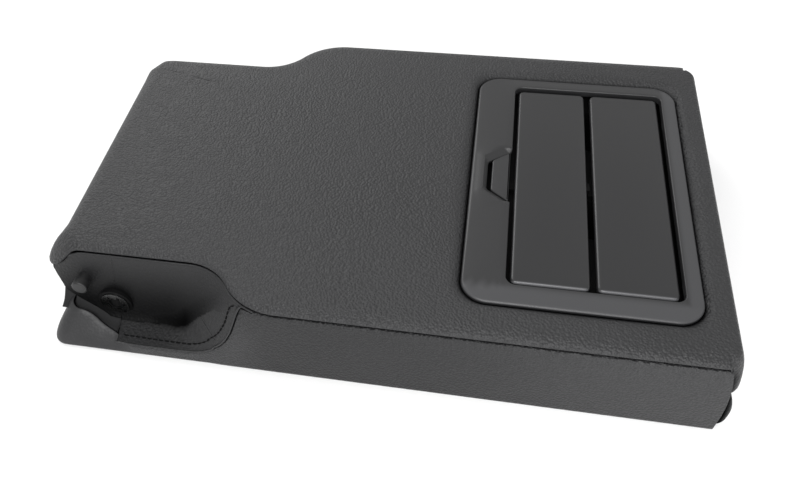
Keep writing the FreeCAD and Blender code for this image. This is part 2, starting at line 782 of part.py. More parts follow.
rail_start = rear_axis + s.knuckle_radius
stem_front = opening_rear - s.flap_side_gap
stem_rear = stem_front - s.stem_length
stem_half = s.stem_width / 2
guide_inner = stem_half + s.guide_clearance
guide_top = flap_under - s.button_travel - s.guide_clearance - s.button_drop
slider_low = pan_floor + s.slider_clearance
slider_top = slider_low + s.slider_thickness
hook_two_front = (front_flap_back + s.striker_setback + s.striker_thickness + s.hook_gap + s.hook_nose
                  + s.hook_post)
spring_start = hook_two_front + s.spring_seat
stop_start = spring_start + s.latch_spring_length + s.spring_seat
fittings = lugs + [block((stop_start, stop_start + s.spring_stop), both(slider_half), (pan_floor, slider_top + 1))]
for side in (-1, 1):
    for span, x, top in (((rail_inner, rail_inner + s.guide_wall), (rail_start, rail_start + s.rail_length),
                          slider_top),
                         ((guide_inner, guide_inner + s.guide_wall), (stem_rear, stem_front), guide_top)):
        y = span if side > 0 else (-span[1], -span[0])
        fittings.append(block(x, y, (pan_floor, top)))
tray = fuse(tray, *fittings)
pin_hole = s.hinge_pin_radius + s.hinge_clearance
tray = cut(
    tray,
    *[rod("y", pin_hole, both(tray_half + 1), x=axis_x, z=hinge_height) for axis_x in (rear_axis, front_axis)],
    *[rod("z", s.screw_radius + s.thread_clearance, (pan_under - 1, pan_floor + 1), x=spot_x, y=spot_y)
      for spot_x, spot_y in boss_spots])
made(tray, "cup_tray")
for side, label in ((1, "cup_mat_left"), (-1, "cup_mat_right")):
    mat_floor = s.well_floor_height + s.tray_wall
    made(rod("z", s.well_radius - s.mat_clearance, (mat_floor, mat_floor + s.mat_thickness),
             x=opening_middle, y=side * well_place), label)

# Flaps, each on a pin along its outer edge
for label, axis_x in (("rear_hinge_pin", rear_axis), ("front_hinge_pin", front_axis)):
    made(rod("y", s.hinge_pin_radius, both(tray_half), x=axis_x, z=hinge_height), label)


def flap(x, axis_x, striker_x, slot_x, inward):
    """A flap with knuckles on its pin, room for its springs and a slotted striker at its free edge."""
    plate = rounded(block(x, both(s.flap_length / 2), (flap_under, flap_top)), s.flap_round, at_level(flap_top))
    solids = [plate, block(striker_x, both(s.striker_width / 2), (flap_under - s.striker_depth, flap_under))]
    holes = [rod("y", pin_hole, both(s.flap_length), x=axis_x, z=hinge_height),
             block(slot_x, both(slider_half + s.guide_clearance),
                   (flap_under - s.hook_top_gap - s.hook_height - s.guide_clearance,
                    flap_under - s.hook_top_gap + s.guide_clearance))]
    room = s.coil_radius + s.coil_wire + s.coil_room
    groove = s.coil_wire + s.coil_room
    for side in (-1, 1):
        middle = side * (s.knuckle_place + s.knuckle_length / 2)
        span = (middle - s.knuckle_length / 2, middle + s.knuckle_length / 2)
        solids.append(rod("y", s.knuckle_radius, span, x=axis_x, z=hinge_height))
        solids.append(block((axis_x - s.knuckle_radius, axis_x + s.knuckle_radius), span,
                            (hinge_height, flap_under)))
        middle = side * (s.coil_place + s.coil_length / 2)
        span = (middle - s.coil_length / 2 - s.coil_room, middle + s.coil_length / 2 + s.coil_room)
        holes.append(rod("y", room, span, x=axis_x, z=hinge_height))
        leg = side * s.coil_place
        leg_x = (axis_x, axis_x + s.coil_leg) if inward > 0 else (axis_x - s.coil_leg, axis_x)
        holes.append(block(leg_x, (leg - groove, leg + groove),
                           (flap_under - 1, hinge_height + s.coil_radius + groove)))
    return cut(fuse(*solids), *holes)


rear_striker = (rear_flap_front - s.striker_setback - s.striker_thickness, rear_flap_front - s.striker_setback)
front_striker = (front_flap_back + s.striker_setback, front_flap_back + s.striker_setback + s.striker_thickness)
slot_depth = s.striker_thickness / 2
made(flap((rear_flap_back, rear_flap_front), rear_axis, rear_striker,
          (rear_striker[1] - slot_depth, rear_striker[1] + 1), 1), "rear_flap")
made(flap((front_flap_back, front_flap_front), front_axis, front_striker,
          (front_striker[1] - slot_depth, front_striker[1] + 1), -1), "front_flap")


def flap_springs(axis_x, inward, label):
    """Two torsion springs about a hinge pin: one leg under the flap, one down to the pan."""
    coils = []
    for side in (-1, 1):
        along = FreeCAD.Vector(0, side, 0)
        centre = FreeCAD.Vector(axis_x.value, side * s.coil_place.value, hinge_height.value)
        start = FreeCAD.Vector(0, 0, 1)
        radius = s.coil_radius.value
        turn_way = along if along.cross(start).x * inward < 0 else -along
        points = coil_points(centre, turn_way, start, radius, 0, 3.75)
        steps = len(points) - 1
        points = [point + along * (s.coil_length.value * index / steps) for index, point in enumerate(points)]
        leg_end = s.coil_leg.value - 1
        legs = [centre + start * radius + FreeCAD.Vector(inward * leg_end * share, 0, 0)
                for share in (1, 0.15)]
        foot = points[-1]
        drop = foot.z - pan_floor.value - s.coil_wire.value - s.spring_seat.value
        feet = [foot - FreeCAD.Vector(0, 0, drop * share) for share in (0.2, 1)]
        coils.append(wire_spring(legs + points + feet, along, s.coil_wire))
    solid(Part.Compound(coils), label)


flap_springs(rear_axis, 1, "rear_flap_springs")
flap_springs(front_axis, -1, "front_flap_springs")

# Release button with its ramp, and the latch slider that the ramp drives forward
button_top = bezel_top - s.button_drop
button_under = button_top - s.button_thickness
button_rear = notch_rear + s.button_gap
button_front = button_rear + s.button_length
stem_low = pan_floor + s.button_travel + s.guide_clearance
ramp_foot = stem_rear + s.guide_clearance
ramp_place = slider_low - ramp_foot + s.ramp_clearance
button = document.addObject("PartDesign::Body", "button")
pad(button, polygon(button, "XY_Plane", [
    (button_front, -s.button_wide / 2), (button_front, s.button_wide / 2),
    (button_rear, s.button_narrow / 2), (button_rear, -s.button_narrow / 2)], button_under), s.button_thickness)
pad(button, polygon(button, "XZ_Plane", [
    (stem_rear, button_under), (stem_rear, stem_low), (stem_low - ramp_place, stem_low),
    (stem_front, stem_front + ramp_place), (stem_front, button_under)]), s.stem_width, True)
made(button, "release_button")

hook_top = flap_under - s.hook_top_gap
hook_low = hook_top - s.hook_height
nose_one = rear_striker[1] + s.hook_gap
post_one = nose_one + s.hook_nose
nose_two = front_striker[1] + s.hook_gap
post_two = nose_two + s.hook_nose
slider = document.addObject("PartDesign::Body", "slider")
pad(slider, polygon(slider, "XZ_Plane", [
    (ramp_foot, slider_low), (hook_two_front, slider_low), (hook_two_front, hook_top), (nose_two, hook_top),
    (nose_two, hook_low), (post_two, hook_low), (post_two, slider_top), (post_one + s.hook_post, slider_top),
    (post_one + s.hook_post, hook_top), (nose_one, hook_top), (nose_one, hook_low), (post_one, hook_low),
    (post_one, slider_top), (ramp_foot + s.slider_thickness, slider_top)]), s.slider_width, True)
made(slider, "latch_slider")

latch_middle = FreeCAD.Vector((spring_start + s.spring_wire).value, 0, (slider_low + s.slider_thickness / 2).value)
latch_coil = coil_points(latch_middle, FreeCAD.Vector(1, 0, 0), UP, s.latch_spring_radius.value,
                         (s.latch_spring_length - 2 * s.spring_wire).value, 6)
solid(wire_spring(latch_coil, FreeCAD.Vector(1, 0, 0), s.spring_wire), "latch_spring")
button_coils = []
coil_low = pan_floor + s.spring_seat + s.spring_wire
coil_high = button_under - s.spring_seat - s.spring_wire
for side in (-1, 1):
    centre = FreeCAD.Vector((button_rear + s.button_length / 2).value, side * s.button_spring_place.value,
                            coil_low.value)
    button_coils.append(wire_spring(
        coil_points(centre, UP, FreeCAD.Vector(1, 0, 0), s.button_spring_radius.value,
                    (coil_high - coil_low).value, 4), UP, s.spring_wire))
solid(Part.Compound(button_coils), "button_springs")

# Check every object, then write one file for each sub-part
document.recompute()
for thing in document.Objects:
    for word in ("Invalid", "Error"):
        if word in thing.State:
            raise RuntimeError("%s is %s" % (thing.Label, word))
for part in parts:
    shape = part.Shape
    if shape.isNull() or not shape.isValid() or not shape.Solids:
        raise RuntimeError("%s has no valid shape" % part.Label)
    shape.exportStep("parts/%s.step" % part.Label)
    box = shape.BoundBox
    print("%-22s solids %d volume %9.0f  x %7.1f %7.1f  y %7.1f %7.1f  z %6.1f %6.1f" % (
        part.Label, len(shape.Solids), shape.Volume, box.XMin, box.XMax, box.YMin, box.YMax, box.ZMin, box.ZMax))
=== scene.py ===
# %% [markdown]
# # Rear seat armrest
#
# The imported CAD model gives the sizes, the moving bodies and the joints of this armrest. The cells
# below dress it: leather covers with soft edges and seams, a stitched lining in the hinge recess, and
# moulded plastic round the cup holder. Lengths are in millimetres in the frame of the CAD model, where
# +X points to the cup-holder end and -Y is the near side. Meshes are written in metres.

# %% Load the frame
import json

import bpy
import numpy as np
from mathutils import Matrix, Vector

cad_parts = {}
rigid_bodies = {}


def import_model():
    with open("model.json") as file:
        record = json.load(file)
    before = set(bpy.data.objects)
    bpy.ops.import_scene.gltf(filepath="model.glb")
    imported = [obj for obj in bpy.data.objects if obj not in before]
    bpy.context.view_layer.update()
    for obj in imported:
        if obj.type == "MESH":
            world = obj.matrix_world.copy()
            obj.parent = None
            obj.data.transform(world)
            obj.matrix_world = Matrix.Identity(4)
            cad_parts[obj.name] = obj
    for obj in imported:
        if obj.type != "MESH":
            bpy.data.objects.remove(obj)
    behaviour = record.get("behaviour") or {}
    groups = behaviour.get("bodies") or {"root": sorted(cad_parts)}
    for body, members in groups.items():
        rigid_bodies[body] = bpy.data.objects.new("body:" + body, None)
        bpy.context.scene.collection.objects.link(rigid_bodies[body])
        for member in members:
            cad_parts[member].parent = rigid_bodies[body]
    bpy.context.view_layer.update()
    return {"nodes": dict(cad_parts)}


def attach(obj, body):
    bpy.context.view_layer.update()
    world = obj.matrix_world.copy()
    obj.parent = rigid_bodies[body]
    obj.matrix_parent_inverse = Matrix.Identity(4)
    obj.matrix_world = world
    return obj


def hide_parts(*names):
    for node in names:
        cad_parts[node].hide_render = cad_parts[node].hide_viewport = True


for leftover in list(bpy.data.objects):
    bpy.data.objects.remove(leftover)
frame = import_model()

# %% [markdown]
# ## Tools for surfaces
#
# Every shape is a grid of points: one index runs along a path, the other across it. `surface` turns
# such a grid into a mesh. The other helpers blend numbers, space points evenly along a line and round a
# rectangle.

# %% Tools for surfaces
MM = 0.001
HALVINGS = 48
LEATHER_THICKNESS = 1.0
FELT_THICKNESS = 0.8
MIRROR = np.array([1.0, -1.0, 1.0])


def ease(value, start=0.0, end=1.0):
    """Smooth step: 3 t^2 - 2 t^3, with t running from 0 at start to 1 at end."""
    t = np.clip((np.asarray(value, float) - start) / (end - start), 0.0, 1.0)
    return t * t * (3.0 - 2.0 * t)


def mix(a, b, t):
    """Straight blend a + (b - a) t."""
    return a + (b - a) * t


def lengths_along(line):
    """Length of a polyline from its start to each of its points."""
    steps = np.linalg.norm(np.diff(line, axis=0), axis=1)
    return np.concatenate([[0.0], np.cumsum(steps)])


def evenly(points, count, closed=False):
    """Points spaced evenly along a polyline, by linear interpolation over its arc length."""
    line = np.asarray(points, float)
    if closed:
        line = np.vstack([line, line[:1]])
    along = lengths_along(line)
    places = np.linspace(0.0, along[-1], count, endpoint=not closed)
    return np.column_stack([np.interp(places, along, line[:, k]) for k in range(line.shape[1])])


def unit(vectors):
    """Vectors of length one: v / |v| along the last axis."""
    return vectors / np.linalg.norm(vectors, axis=-1, keepdims=True)


def outward(loop):
    """Unit normals in plan of an anticlockwise closed loop: the tangent (dx, dy) turned to (dy, -dx)."""
    step = np.roll(loop, -1, axis=0) - np.roll(loop, 1, axis=0)
    return unit(np.column_stack([step[:, 1], -step[:, 0]]))


def outward_open(path):
    """The same normals for an open path."""
    step = np.gradient(path, axis=0)
    return unit(np.column_stack([step[:, 1], -step[:, 0]]))


def mirror_loop(right):
    """Closed anticlockwise loop from its right half, which runs from the rear to the front at y < 0."""
    left = right[::-1] * MIRROR[:2]
    return np.vstack([right, left])


def at_height(plan, z):
    """Points in space from points in plan and one height, or a height for each."""
    return np.column_stack([plan, np.broadcast_to(np.asarray(z, float), (len(plan),))])


def arc(cx, cy, radius, start, end, count=10):
    """Points (cx + r cos a, cy + r sin a) for a from start to end in degrees."""
    angle = np.radians(np.linspace(start, end, count))
    return np.column_stack([cx + radius * np.cos(angle), cy + radius * np.sin(angle)])


def round_box_distance(x, y, cx, cy, half_x, half_y, radius):
    """Signed distance in plan to a rectangle with rounded corners; negative inside."""
    dx = np.abs(x - cx) - (half_x - radius)
    dy = np.abs(y - cy) - (half_y - radius)
    outside = np.hypot(np.maximum(dx, 0.0), np.maximum(dy, 0.0))
    inside = np.minimum(np.maximum(dx, dy), 0.0)
    return outside + inside - radius


def on_round_box(targets, cx, cy, half_x, half_y, radius):
    """Where the ray from the centre towards each target meets the rounded rectangle, found by halving."""
    centre = np.array([cx, cy])
    ray = unit(targets - centre)
    low = np.zeros(len(targets))
    high = np.full(len(targets), 2.0 * (half_x + half_y))
    for _ in range(HALVINGS):
        middle = 0.5 * (low + high)
        spot = centre + ray * middle[:, None]
        inside = round_box_distance(spot[:, 0], spot[:, 1], cx, cy, half_x, half_y, radius) < 0.0
        low = np.where(inside, middle, low)
        high = np.where(inside, high, middle)
    return centre + ray * low[:, None]


def grid_faces(rows, columns, close_rows, close_columns):
    """Quads of a grid whose point (i, j) has the index i * columns + j."""
    i = np.arange(rows if close_rows else rows - 1)
    j = np.arange(columns if close_columns else columns - 1)
    i, j = (side.ravel() for side in np.meshgrid(i, j, indexing="ij"))
    i_next = (i + 1) % rows
    j_next = (j + 1) % columns
    corners = [i * columns + j, i * columns + j_next, i_next * columns + j_next, i_next * columns + j]
    return np.column_stack(corners)


def mesh_piece(name, points, faces):
    """A smooth mesh object from points in millimetres and a list of faces."""
    mesh = bpy.data.meshes.new(name)
    mesh.from_pydata((np.asarray(points) * MM).tolist(), [], [list(map(int, face)) for face in faces])
    mesh.polygons.foreach_set("use_smooth", [True] * len(mesh.polygons))
    mesh.update()
    piece = bpy.data.objects.new(name, mesh)
    bpy.context.scene.collection.objects.link(piece)
    return piece


def surface(name, grid, close_rows=False, close_columns=False, flip=False, slit=None):
    """A mesh from a grid of points of the shape (rows, columns, 3), cut open after the column slit."""
    rows, columns, _ = grid.shape
    faces = grid_faces(rows, columns, close_rows, close_columns)
    if slit is not None:
        faces = faces[faces[:, 0] % columns != slit]
    if flip:
        faces = faces[:, ::-1]
    return mesh_piece(name, grid.reshape(-1, 3), faces)


def thicken(piece, thickness):
    """Gives a sheet a thickness in millimetres on its inner side."""
    wall = piece.modifiers.new("thickness", "SOLIDIFY")
    wall.thickness = thickness * MM
    wall.offset = -1.0
    wall.use_rim = True
    return piece


def stack(*parts):
    """Joins (points, faces) pairs into one pair."""
    points = []
    faces = []
    first = 0
    for part_points, part_faces in parts:
        points.append(np.asarray(part_points, float))
        faces.extend([[index + first for index in face] for face in part_faces])
        first += len(part_points)
    return np.vstack(points), faces


def slab(outline, low, high, edge, edge_low=0.2, steps=5):
    """A flat plate over a convex closed outline, its top edge rounded over a quarter circle of radius edge.

    Each row of the rounding is inset by edge (1 - cos a) and stands at high - edge (1 - sin a), with a from
    0 to 90 degrees.
    """
    normal = outward(outline)
    inset = [edge_low, 0.0]
    height = [low, low + edge_low]
    for angle in np.radians(np.linspace(0.0, 90.0, steps + 1)):
        inset.append(edge * (1.0 - np.cos(angle)))
        height.append(high - edge * (1.0 - np.sin(angle)))
    rows = [at_height(outline - normal * d, z) for d, z in zip(inset, height)]
    columns = len(outline)
    faces = grid_faces(len(rows), columns, False, True).tolist()
    faces.append(list(range(columns))[::-1])
    top = (len(rows) - 1) * columns
    faces.append(list(range(top, top + columns)))
    return np.vstack(rows), faces


def box(x, y, z):
    """A block from three pairs of limits."""
    points = np.array([[i, j, k] for k in z for j in y for i in x], float)
    faces = [[0, 2, 3, 1], [4, 5, 7, 6], [0, 1, 5, 4], [2, 6, 7, 3], [0, 4, 6, 2], [1, 3, 7, 5]]
    return points, faces


def tube_y(x, z, radius, y_low, y_high, sides=20):
    """A rod along Y: points (x + r cos a, y, z + r sin a)."""
    angle = np.linspace(0.0, 2.0 * np.pi, sides, endpoint=False)
    ring = np.column_stack([x + radius * np.cos(angle), np.zeros(sides), z + radius * np.sin(angle)])
    points = np.vstack([ring + [0.0, y_low, 0.0], ring + [0.0, y_high, 0.0]])
    faces = grid_faces(2, sides, False, True)[:, ::-1].tolist()
    faces.append(list(range(sides)))
    faces.append(list(range(sides, 2 * sides))[::-1])
    return points, faces


def store(piece, name, amount):
    """Stores a number from 0 to 1 at each point, for the finishes to read."""
    layer = piece.data.attributes.new(name, "FLOAT", "POINT")
    layer.data.foreach_set("value", np.clip(np.ravel(amount), 0.0, 1.0).astype(np.float32))
    return piece


def darken(piece, amount):
    """Stores how far each point is turned to a dull near-black, from 0 to 1: painted shade in creases,
    grooves, gaps and recesses, and the dark thread of the stitches.
    """
    return store(piece, "crease", amount)


def crisp(piece, angle=35.0):
    """Keeps edges sharper than the angle as creases in the shading."""
    piece.data.set_sharp_from_angle(angle=np.radians(angle))
    return piece


# %% [markdown]
# ## Plan of the armrest
#
# Seen from above, the armrest is narrow at the hinge end and swings out through an S to its full width.
# The S is made of two arcs. Its ends and both widths change with the height, so the wall of the recess
# leans.

# %% Plan of the armrest
SEAM = 50.0
LEDGE = 8.0
TOP = 54.6
# Each pair holds the value at the ledge and the value at the seam.
NECK = (102.0, 89.0)
DECK = (120.0, 117.6)
FLARE_START = (-122.0, -101.0)
FLARE_END = (-80.0, -46.0)
FLARE_BEND = 0.45


def half_width(x, z):
    """Half width at the place x and the height z.

    The first arc takes the share FLARE_BEND of the run and of the rise, the second takes the rest. An arc
    over the run L and the rise H has the radius R = (L^2 + H^2) / (2 H). The first leaves the neck with
    neck + R - sqrt(R^2 - a^2), the second reaches the deck with deck - R + sqrt(R^2 - b^2).
    """
    level = np.clip((np.asarray(z, float) - LEDGE) / (SEAM - LEDGE), -0.1, 1.1)
    start, end, neck, deck = (mix(*pair, level) for pair in (FLARE_START, FLARE_END, NECK, DECK))
    run_in = FLARE_BEND * (end - start)
    rise_in = FLARE_BEND * (deck - neck)
    run_out = (1.0 - FLARE_BEND) * (end - start)
    rise_out = (1.0 - FLARE_BEND) * (deck - neck)
    radius_in = (run_in ** 2 + rise_in ** 2) / (2.0 * rise_in)
    radius_out = (run_out ** 2 + rise_out ** 2) / (2.0 * rise_out)
    a = np.clip(x - start, 0.0, run_in)
    b = np.clip(end - x, 0.0, run_out)
    first = neck + radius_in - np.sqrt(radius_in ** 2 - a ** 2)
    second = deck - radius_out + np.sqrt(radius_out ** 2 - b ** 2)
    return np.where(x < start + run_in, first, second)


def plan_side(half, rear, front, rear_round, front_round):
    """Right half of a plan outline, from rear to front, for a half width given as a function of x."""
    x = np.linspace(rear + rear_round, front - front_round, 300)
    rear_half = float(half(np.array(rear + rear_round)))
    front_half = float(half(np.array(front - front_round)))
    rear_arc = arc(rear + rear_round, rear_round - rear_half, rear_round, 180.0, 270.0)
    front_arc = arc(front - front_round, front_round - front_half, front_round, 270.0, 360.0)
    return np.vstack([rear_arc[:-1], np.column_stack([x, -half(x)]), front_arc[1:]])


# %% [markdown]
# ## Top cover
#
# The leather top is a ring of points round the cup holder. Each column runs outwards from the edge of
# the bezel, over the crowned field, round the soft edge and down. At the sides it tucks into the seam.
# At both ends it goes on as a nose that leans in towards the groove.

# %% Top cover
BEZEL_X = (45.3, 165.0)
BEZEL_Y = -1.4
BEZEL_HALF = 93.4
BEZEL_ROUND = 14.0
BEZEL_CENTRE = 0.5 * (BEZEL_X[0] + BEZEL_X[1])
BEZEL_GAP = 0.3
TOP_REAR = -182.4
TOP_FRONT = 182.4
TOP_ROUND = (13.0, 12.0)
TOP_COLUMNS = 680
SEAM_LEVEL = 49.9
# The seam turns down from a distance behind the middle, over a run, by a drop.
SEAM_TURN = (163.0, 22.0, 13.0)
FRONT_ZONE = (173.5, 176.5)
CORNER_ZONE = 160.0
REAR_LOW = (37.0, 33.0)
REAR_RISE = 8.5
NOSE_LOW = 24.0
NOSE_RISE = 8.0
NOSE_TUCK = 0.8
EDGE_WIDTH = 9.0
EDGE_CHANGE = 3.5
SQUARE_REAR = 10.0
SQUARE_FRONT = 8.0
NEAR_BULGE = 5.5
CROWN = 1.5
CROWN_RUN = 30.0
DIP = 3.1
DIP_RUN = 3.4
# DIP_DARK is the run of the painted shade in the groove at the foot of the bezel.
DIP_DARK = 1.5


def seam_height_at(x):
    """Height of the seam at the place x: level along the sides, and turning down round the rear corner."""
    start, run, drop = SEAM_TURN
    turned = np.clip((-np.asarray(x, float) - start) / run, 0.0, 1.0)
    return SEAM_LEVEL - drop * turned ** 2


top_side = plan_side(lambda x: half_width(x, SEAM), TOP_REAR, TOP_FRONT, *TOP_ROUND)
top_loop = evenly(mirror_loop(top_side), TOP_COLUMNS, closed=True)
top_normal = outward(top_loop)
top_x, top_y = top_loop.T
sideways = np.abs(top_normal[:, 1])
lengthways = np.abs(top_normal[:, 0])
bezel_half = 0.5 * (BEZEL_X[1] - BEZEL_X[0])
gap_box = (bezel_half + BEZEL_GAP, BEZEL_HALF + BEZEL_GAP, BEZEL_ROUND + BEZEL_GAP)
bezel_edge = on_round_box(top_loop, BEZEL_CENTRE, BEZEL_Y, *gap_box)
at_front = ease(top_x, *FRONT_ZONE)
at_rear = np.where(top_x < -CORNER_ZONE, ease(lengthways), 0.0)
under = at_rear * ease(86.0 - np.abs(top_y), 0.0, 14.0)
at_end = np.maximum(at_front, under)
rear_low = mix(*REAR_LOW, ease(84.0 - np.abs(top_y), 0.0, 16.0))
seam_low = mix(seam_height_at(top_x) + 0.3, rear_low, at_rear)
seam_low = mix(seam_low, NOSE_LOW, at_front)
edge_width = EDGE_WIDTH - EDGE_CHANGE * at_front + EDGE_CHANGE * at_rear
nose_tuck = NOSE_TUCK * at_front * sideways ** 2
# The lower rows have squarer corners than the upper edge, and bulge at the near rear corner.
squarer = np.where(top_x < -CORNER_ZONE, SQUARE_REAR, np.where(top_x > CORNER_ZONE, SQUARE_FRONT, 0.0))
squarer = squarer * (np.abs(top_normal).sum(axis=1) - 1.0)
squarer = np.where(top_x > CORNER_ZONE, squarer * ease(lengthways, 0.2, 0.6), squarer)
squarer = squarer + NEAR_BULGE * at_rear * ease(-top_y, 68.0, 86.0)
edge_base = seam_low + 1.2 + NOSE_RISE * at_front + REAR_RISE * under
edge_inner = top_loop - top_normal * edge_width[:, None]
field_width = np.linalg.norm(edge_inner - bezel_edge, axis=1)

beside_panel = ease(top_x, 173.5, 175.0) * ease(sideways, 0.6, 0.9)
# top_dark is painted shade: near-black where the leather tucks into the gap at the bezel, in the groove at
# its foot, on the nose beside the front panels and in the seam tuck.
top_rows = []
top_dark = []
to_centre = unit(np.array([BEZEL_CENTRE, BEZEL_Y]) - bezel_edge)
for inset in (1.6, 0.8, 0.2):
    top_rows.append(at_height(bezel_edge + to_centre * inset, 51.5))
    top_dark.append(np.ones(len(top_loop)))
for share in 0.5 - 0.5 * np.cos(np.pi * np.linspace(0.0, 1.0, 44)):
    spot = mix(bezel_edge, edge_inner, share)
    from_bezel = field_width * share
    from_edge = field_width * (1.0 - share)
    crown = CROWN * (1.0 - np.exp(-from_edge / CROWN_RUN)) * (1.0 - np.exp(-from_bezel / CROWN_RUN))
    dip = DIP * np.exp(-((from_bezel / DIP_RUN) ** 1.6))
    top_rows.append(at_height(spot, TOP + crown - dip))
    top_dark.append(np.exp(-((from_bezel / DIP_DARK) ** 2)))
for angle in np.radians(np.linspace(82.0, 0.0, 10)):
    inset = edge_width * (1.0 - np.cos(angle)) + (nose_tuck - squarer) * (1.0 - np.sin(angle))
    height = edge_base + (TOP - edge_base) * np.sin(angle)
    top_rows.append(at_height(top_loop - top_normal * inset[:, None], height))
    top_dark.append(beside_panel * ease(np.cos(angle), 0.7, 0.95))
for share in np.linspace(0.1, 1.0, 12):
    inset = mix((2.0 - at_rear) * share ** 2, 4.5 * share ** 1.8, at_end) + nose_tuck - squarer
    height = mix(edge_base, seam_low, share)
    top_rows.append(at_height(top_loop - top_normal * inset[:, None], height))
    top_dark.append(np.maximum(ease(share, 0.75, 1.0), beside_panel))
for inset_side, inset_end, lift in ((3.0, 7.0, -0.4), (5.0, 12.0, -0.2)):
    inset = mix(inset_side, inset_end, at_end) - squarer
    top_rows.append(at_height(top_loop - top_normal * inset[:, None], seam_low + lift))
    top_dark.append(np.ones(len(top_loop)))
top_leather = surface("top_leather", np.array(top_rows), close_columns=True, flip=True)
darken(top_leather, top_dark)
print("top leather", len(top_leather.data.polygons), "faces")

# %% [markdown]
# ## Side panels and lower cover
#
# One strip of leather runs from the front edge of one side round the rear to the front edge of the
# other. Its upper edge follows the seam along the deck, drops along the band of the recess to the
# ledge, and rises again to a soft lip round the rear. Its front edges lean back towards the seam and are
# folded in. Below, it closes across the bottom. The rounded roll under the front groove is a piece of its
# own that starts behind the folded edges.

# %% Side panels and lower cover
BASE_HALF = 120.0
BASE_REAR = -185.0
BASE_FRONT = 180.2
BASE_CORNER = 8.0
FRONT_LEAN = 5.7
LEAN_POWER = 2.8
END_LEAN = 10.5
BULGE = 0.9
GATHER = 0.26
# Each round is an inset and a height.
BOTTOM_ROUND = (1.8, 2.5)
RIM_ROUND = (0.9, 1.6)
RIM_COLUMNS = 400
# Heights of the upper edge, and how far the rear part of the sides leans in, at places along the length.
BAND = np.array([
    (-185.0, 20.5), (-176.0, 20.0), (-169.0, 17.8), (-161.0, 15.0), (-153.0, 12.0), (-146.0, 9.6),
    (-140.0, 8.6), (-129.0, 8.4), (-108.0, 8.4), (-97.0, 9.0), (-90.0, 11.0), (-84.5, 14.2), (-79.5, 18.6),
    (-76.0, 23.2), (-72.6, 29.6), (-70.2, 36.0), (-68.2, 42.0), (-66.2, 46.6), (-64.4, 49.0), (-58.0, 48.7),
])
SIDE_LEAN = np.array([
    (-177.0, 12.5), (-169.0, 12.0), (-161.0, 11.0), (-153.0, 9.0), (-146.0, 6.5), (-134.0, 0.0),
])
# Steps of the folded front edge: how far ahead, and how far inwards.
FOLD = ((0.2, 0.1), (0.3, 0.5), (0.2, 1.4), (-0.4, 4.0))


def rim_height(x):
    """Height of the upper edge of the side leather at the place x."""
    return np.interp(x, BAND[:, 0], BAND[:, 1])


def front_lean(height):
    """How far the front edge of the panels leans back at a height: FRONT_LEAN (z / SEAM)^LEAN_POWER."""
    return FRONT_LEAN * (height / SEAM) ** LEAN_POWER


rear_arc = arc(BASE_REAR + BASE_CORNER, BASE_CORNER - BASE_HALF, BASE_CORNER, 180.0, 270.0, 16)
base_right = np.vstack([[[BASE_REAR, 0.0]], rear_arc, [[BASE_FRONT, -BASE_HALF]]])
base_right = evenly(base_right, 4000)
rim_right = evenly(np.column_stack([base_right, rim_height(base_right[:, 0])]), RIM_COLUMNS)
rim_path = np.vstack([rim_right[::-1] * MIRROR, rim_right[1:]])
skirt_plan = rim_path[:, :2]
skirt_normal = outward_open(skirt_plan)
front_fold = np.zeros(len(skirt_plan))
for ahead, inset in FOLD:
    tip = np.array([BASE_FRONT + ahead, BASE_HALF])
    skirt_plan = np.vstack([tip, skirt_plan, tip * MIRROR[:2]])
    skirt_normal = np.vstack([[0.0, 1.0], skirt_normal, [0.0, -1.0]])
    front_fold = np.concatenate([[inset], front_fold, [inset]])
skirt_rim = rim_height(skirt_plan[:, 0])
skirt_x = skirt_plan[:, 0]
side_lean = np.interp(skirt_x, SIDE_LEAN[:, 0], SIDE_LEAN[:, 1])
side_lean = side_lean * ease(np.abs(skirt_plan[:, 1]), 60.0, 112.0) * np.sign(skirt_plan[:, 1])
end_lean = END_LEAN * (1.0 - ease(skirt_x, -177.0, -150.0))


def skirt_points(height):
    """One row of the side leather: the base outline moved by the flare, bulge, rounds and leans."""
    flare = (BASE_HALF - half_width(skirt_x, height)) * ease(skirt_x, -95.0, -76.0)
    bulge = BULGE * np.sin(np.pi * np.clip((height - 3.0) / 46.0, 0.0, 1.0)) * ease(skirt_x, -70.0, -20.0)
    lean = np.clip((height - 2.0) / (skirt_rim - 2.0), 0.0, 1.0) ** 1.4
    below = np.clip(1.0 - height / BOTTOM_ROUND[1], 0.0, 1.0)
    roll = np.clip((height - (skirt_rim - RIM_ROUND[1])) / RIM_ROUND[1], 0.0, 1.0)
    inset = flare - bulge + front_fold
    inset = inset + BOTTOM_ROUND[0] * (1.0 - np.sqrt(1.0 - below ** 2))
    inset = inset + RIM_ROUND[0] * (1.0 - np.sqrt(1.0 - roll ** 2))
    gather = ease(skirt_x, 40.0, 110.0) * np.exp(-np.maximum(skirt_rim - 2.0 - height, 0.0) / 5.0)
    wave = np.sin(skirt_x * 0.92 + 0.14 * height)
    wave = wave + 0.6 * np.sin(skirt_x * 0.57 + 1.3) * np.sin(skirt_x * 0.031)
    gather = GATHER * gather * wave * ease(height, 20.0, 40.0)
    inset = inset + gather * ease(skirt_rim - height, 1.0, 4.0)
    plan = skirt_plan - skirt_normal * inset[:, None]
    plan = plan + np.column_stack([end_lean, -side_lean]) * lean[:, None]
    pulled = np.clip((plan[:, 0] - 150.0) / (BASE_FRONT - 150.0), 0.0, 1.1)
    plan[:, 0] = plan[:, 0] - front_lean(height) * pulled
    return at_height(plan, height)


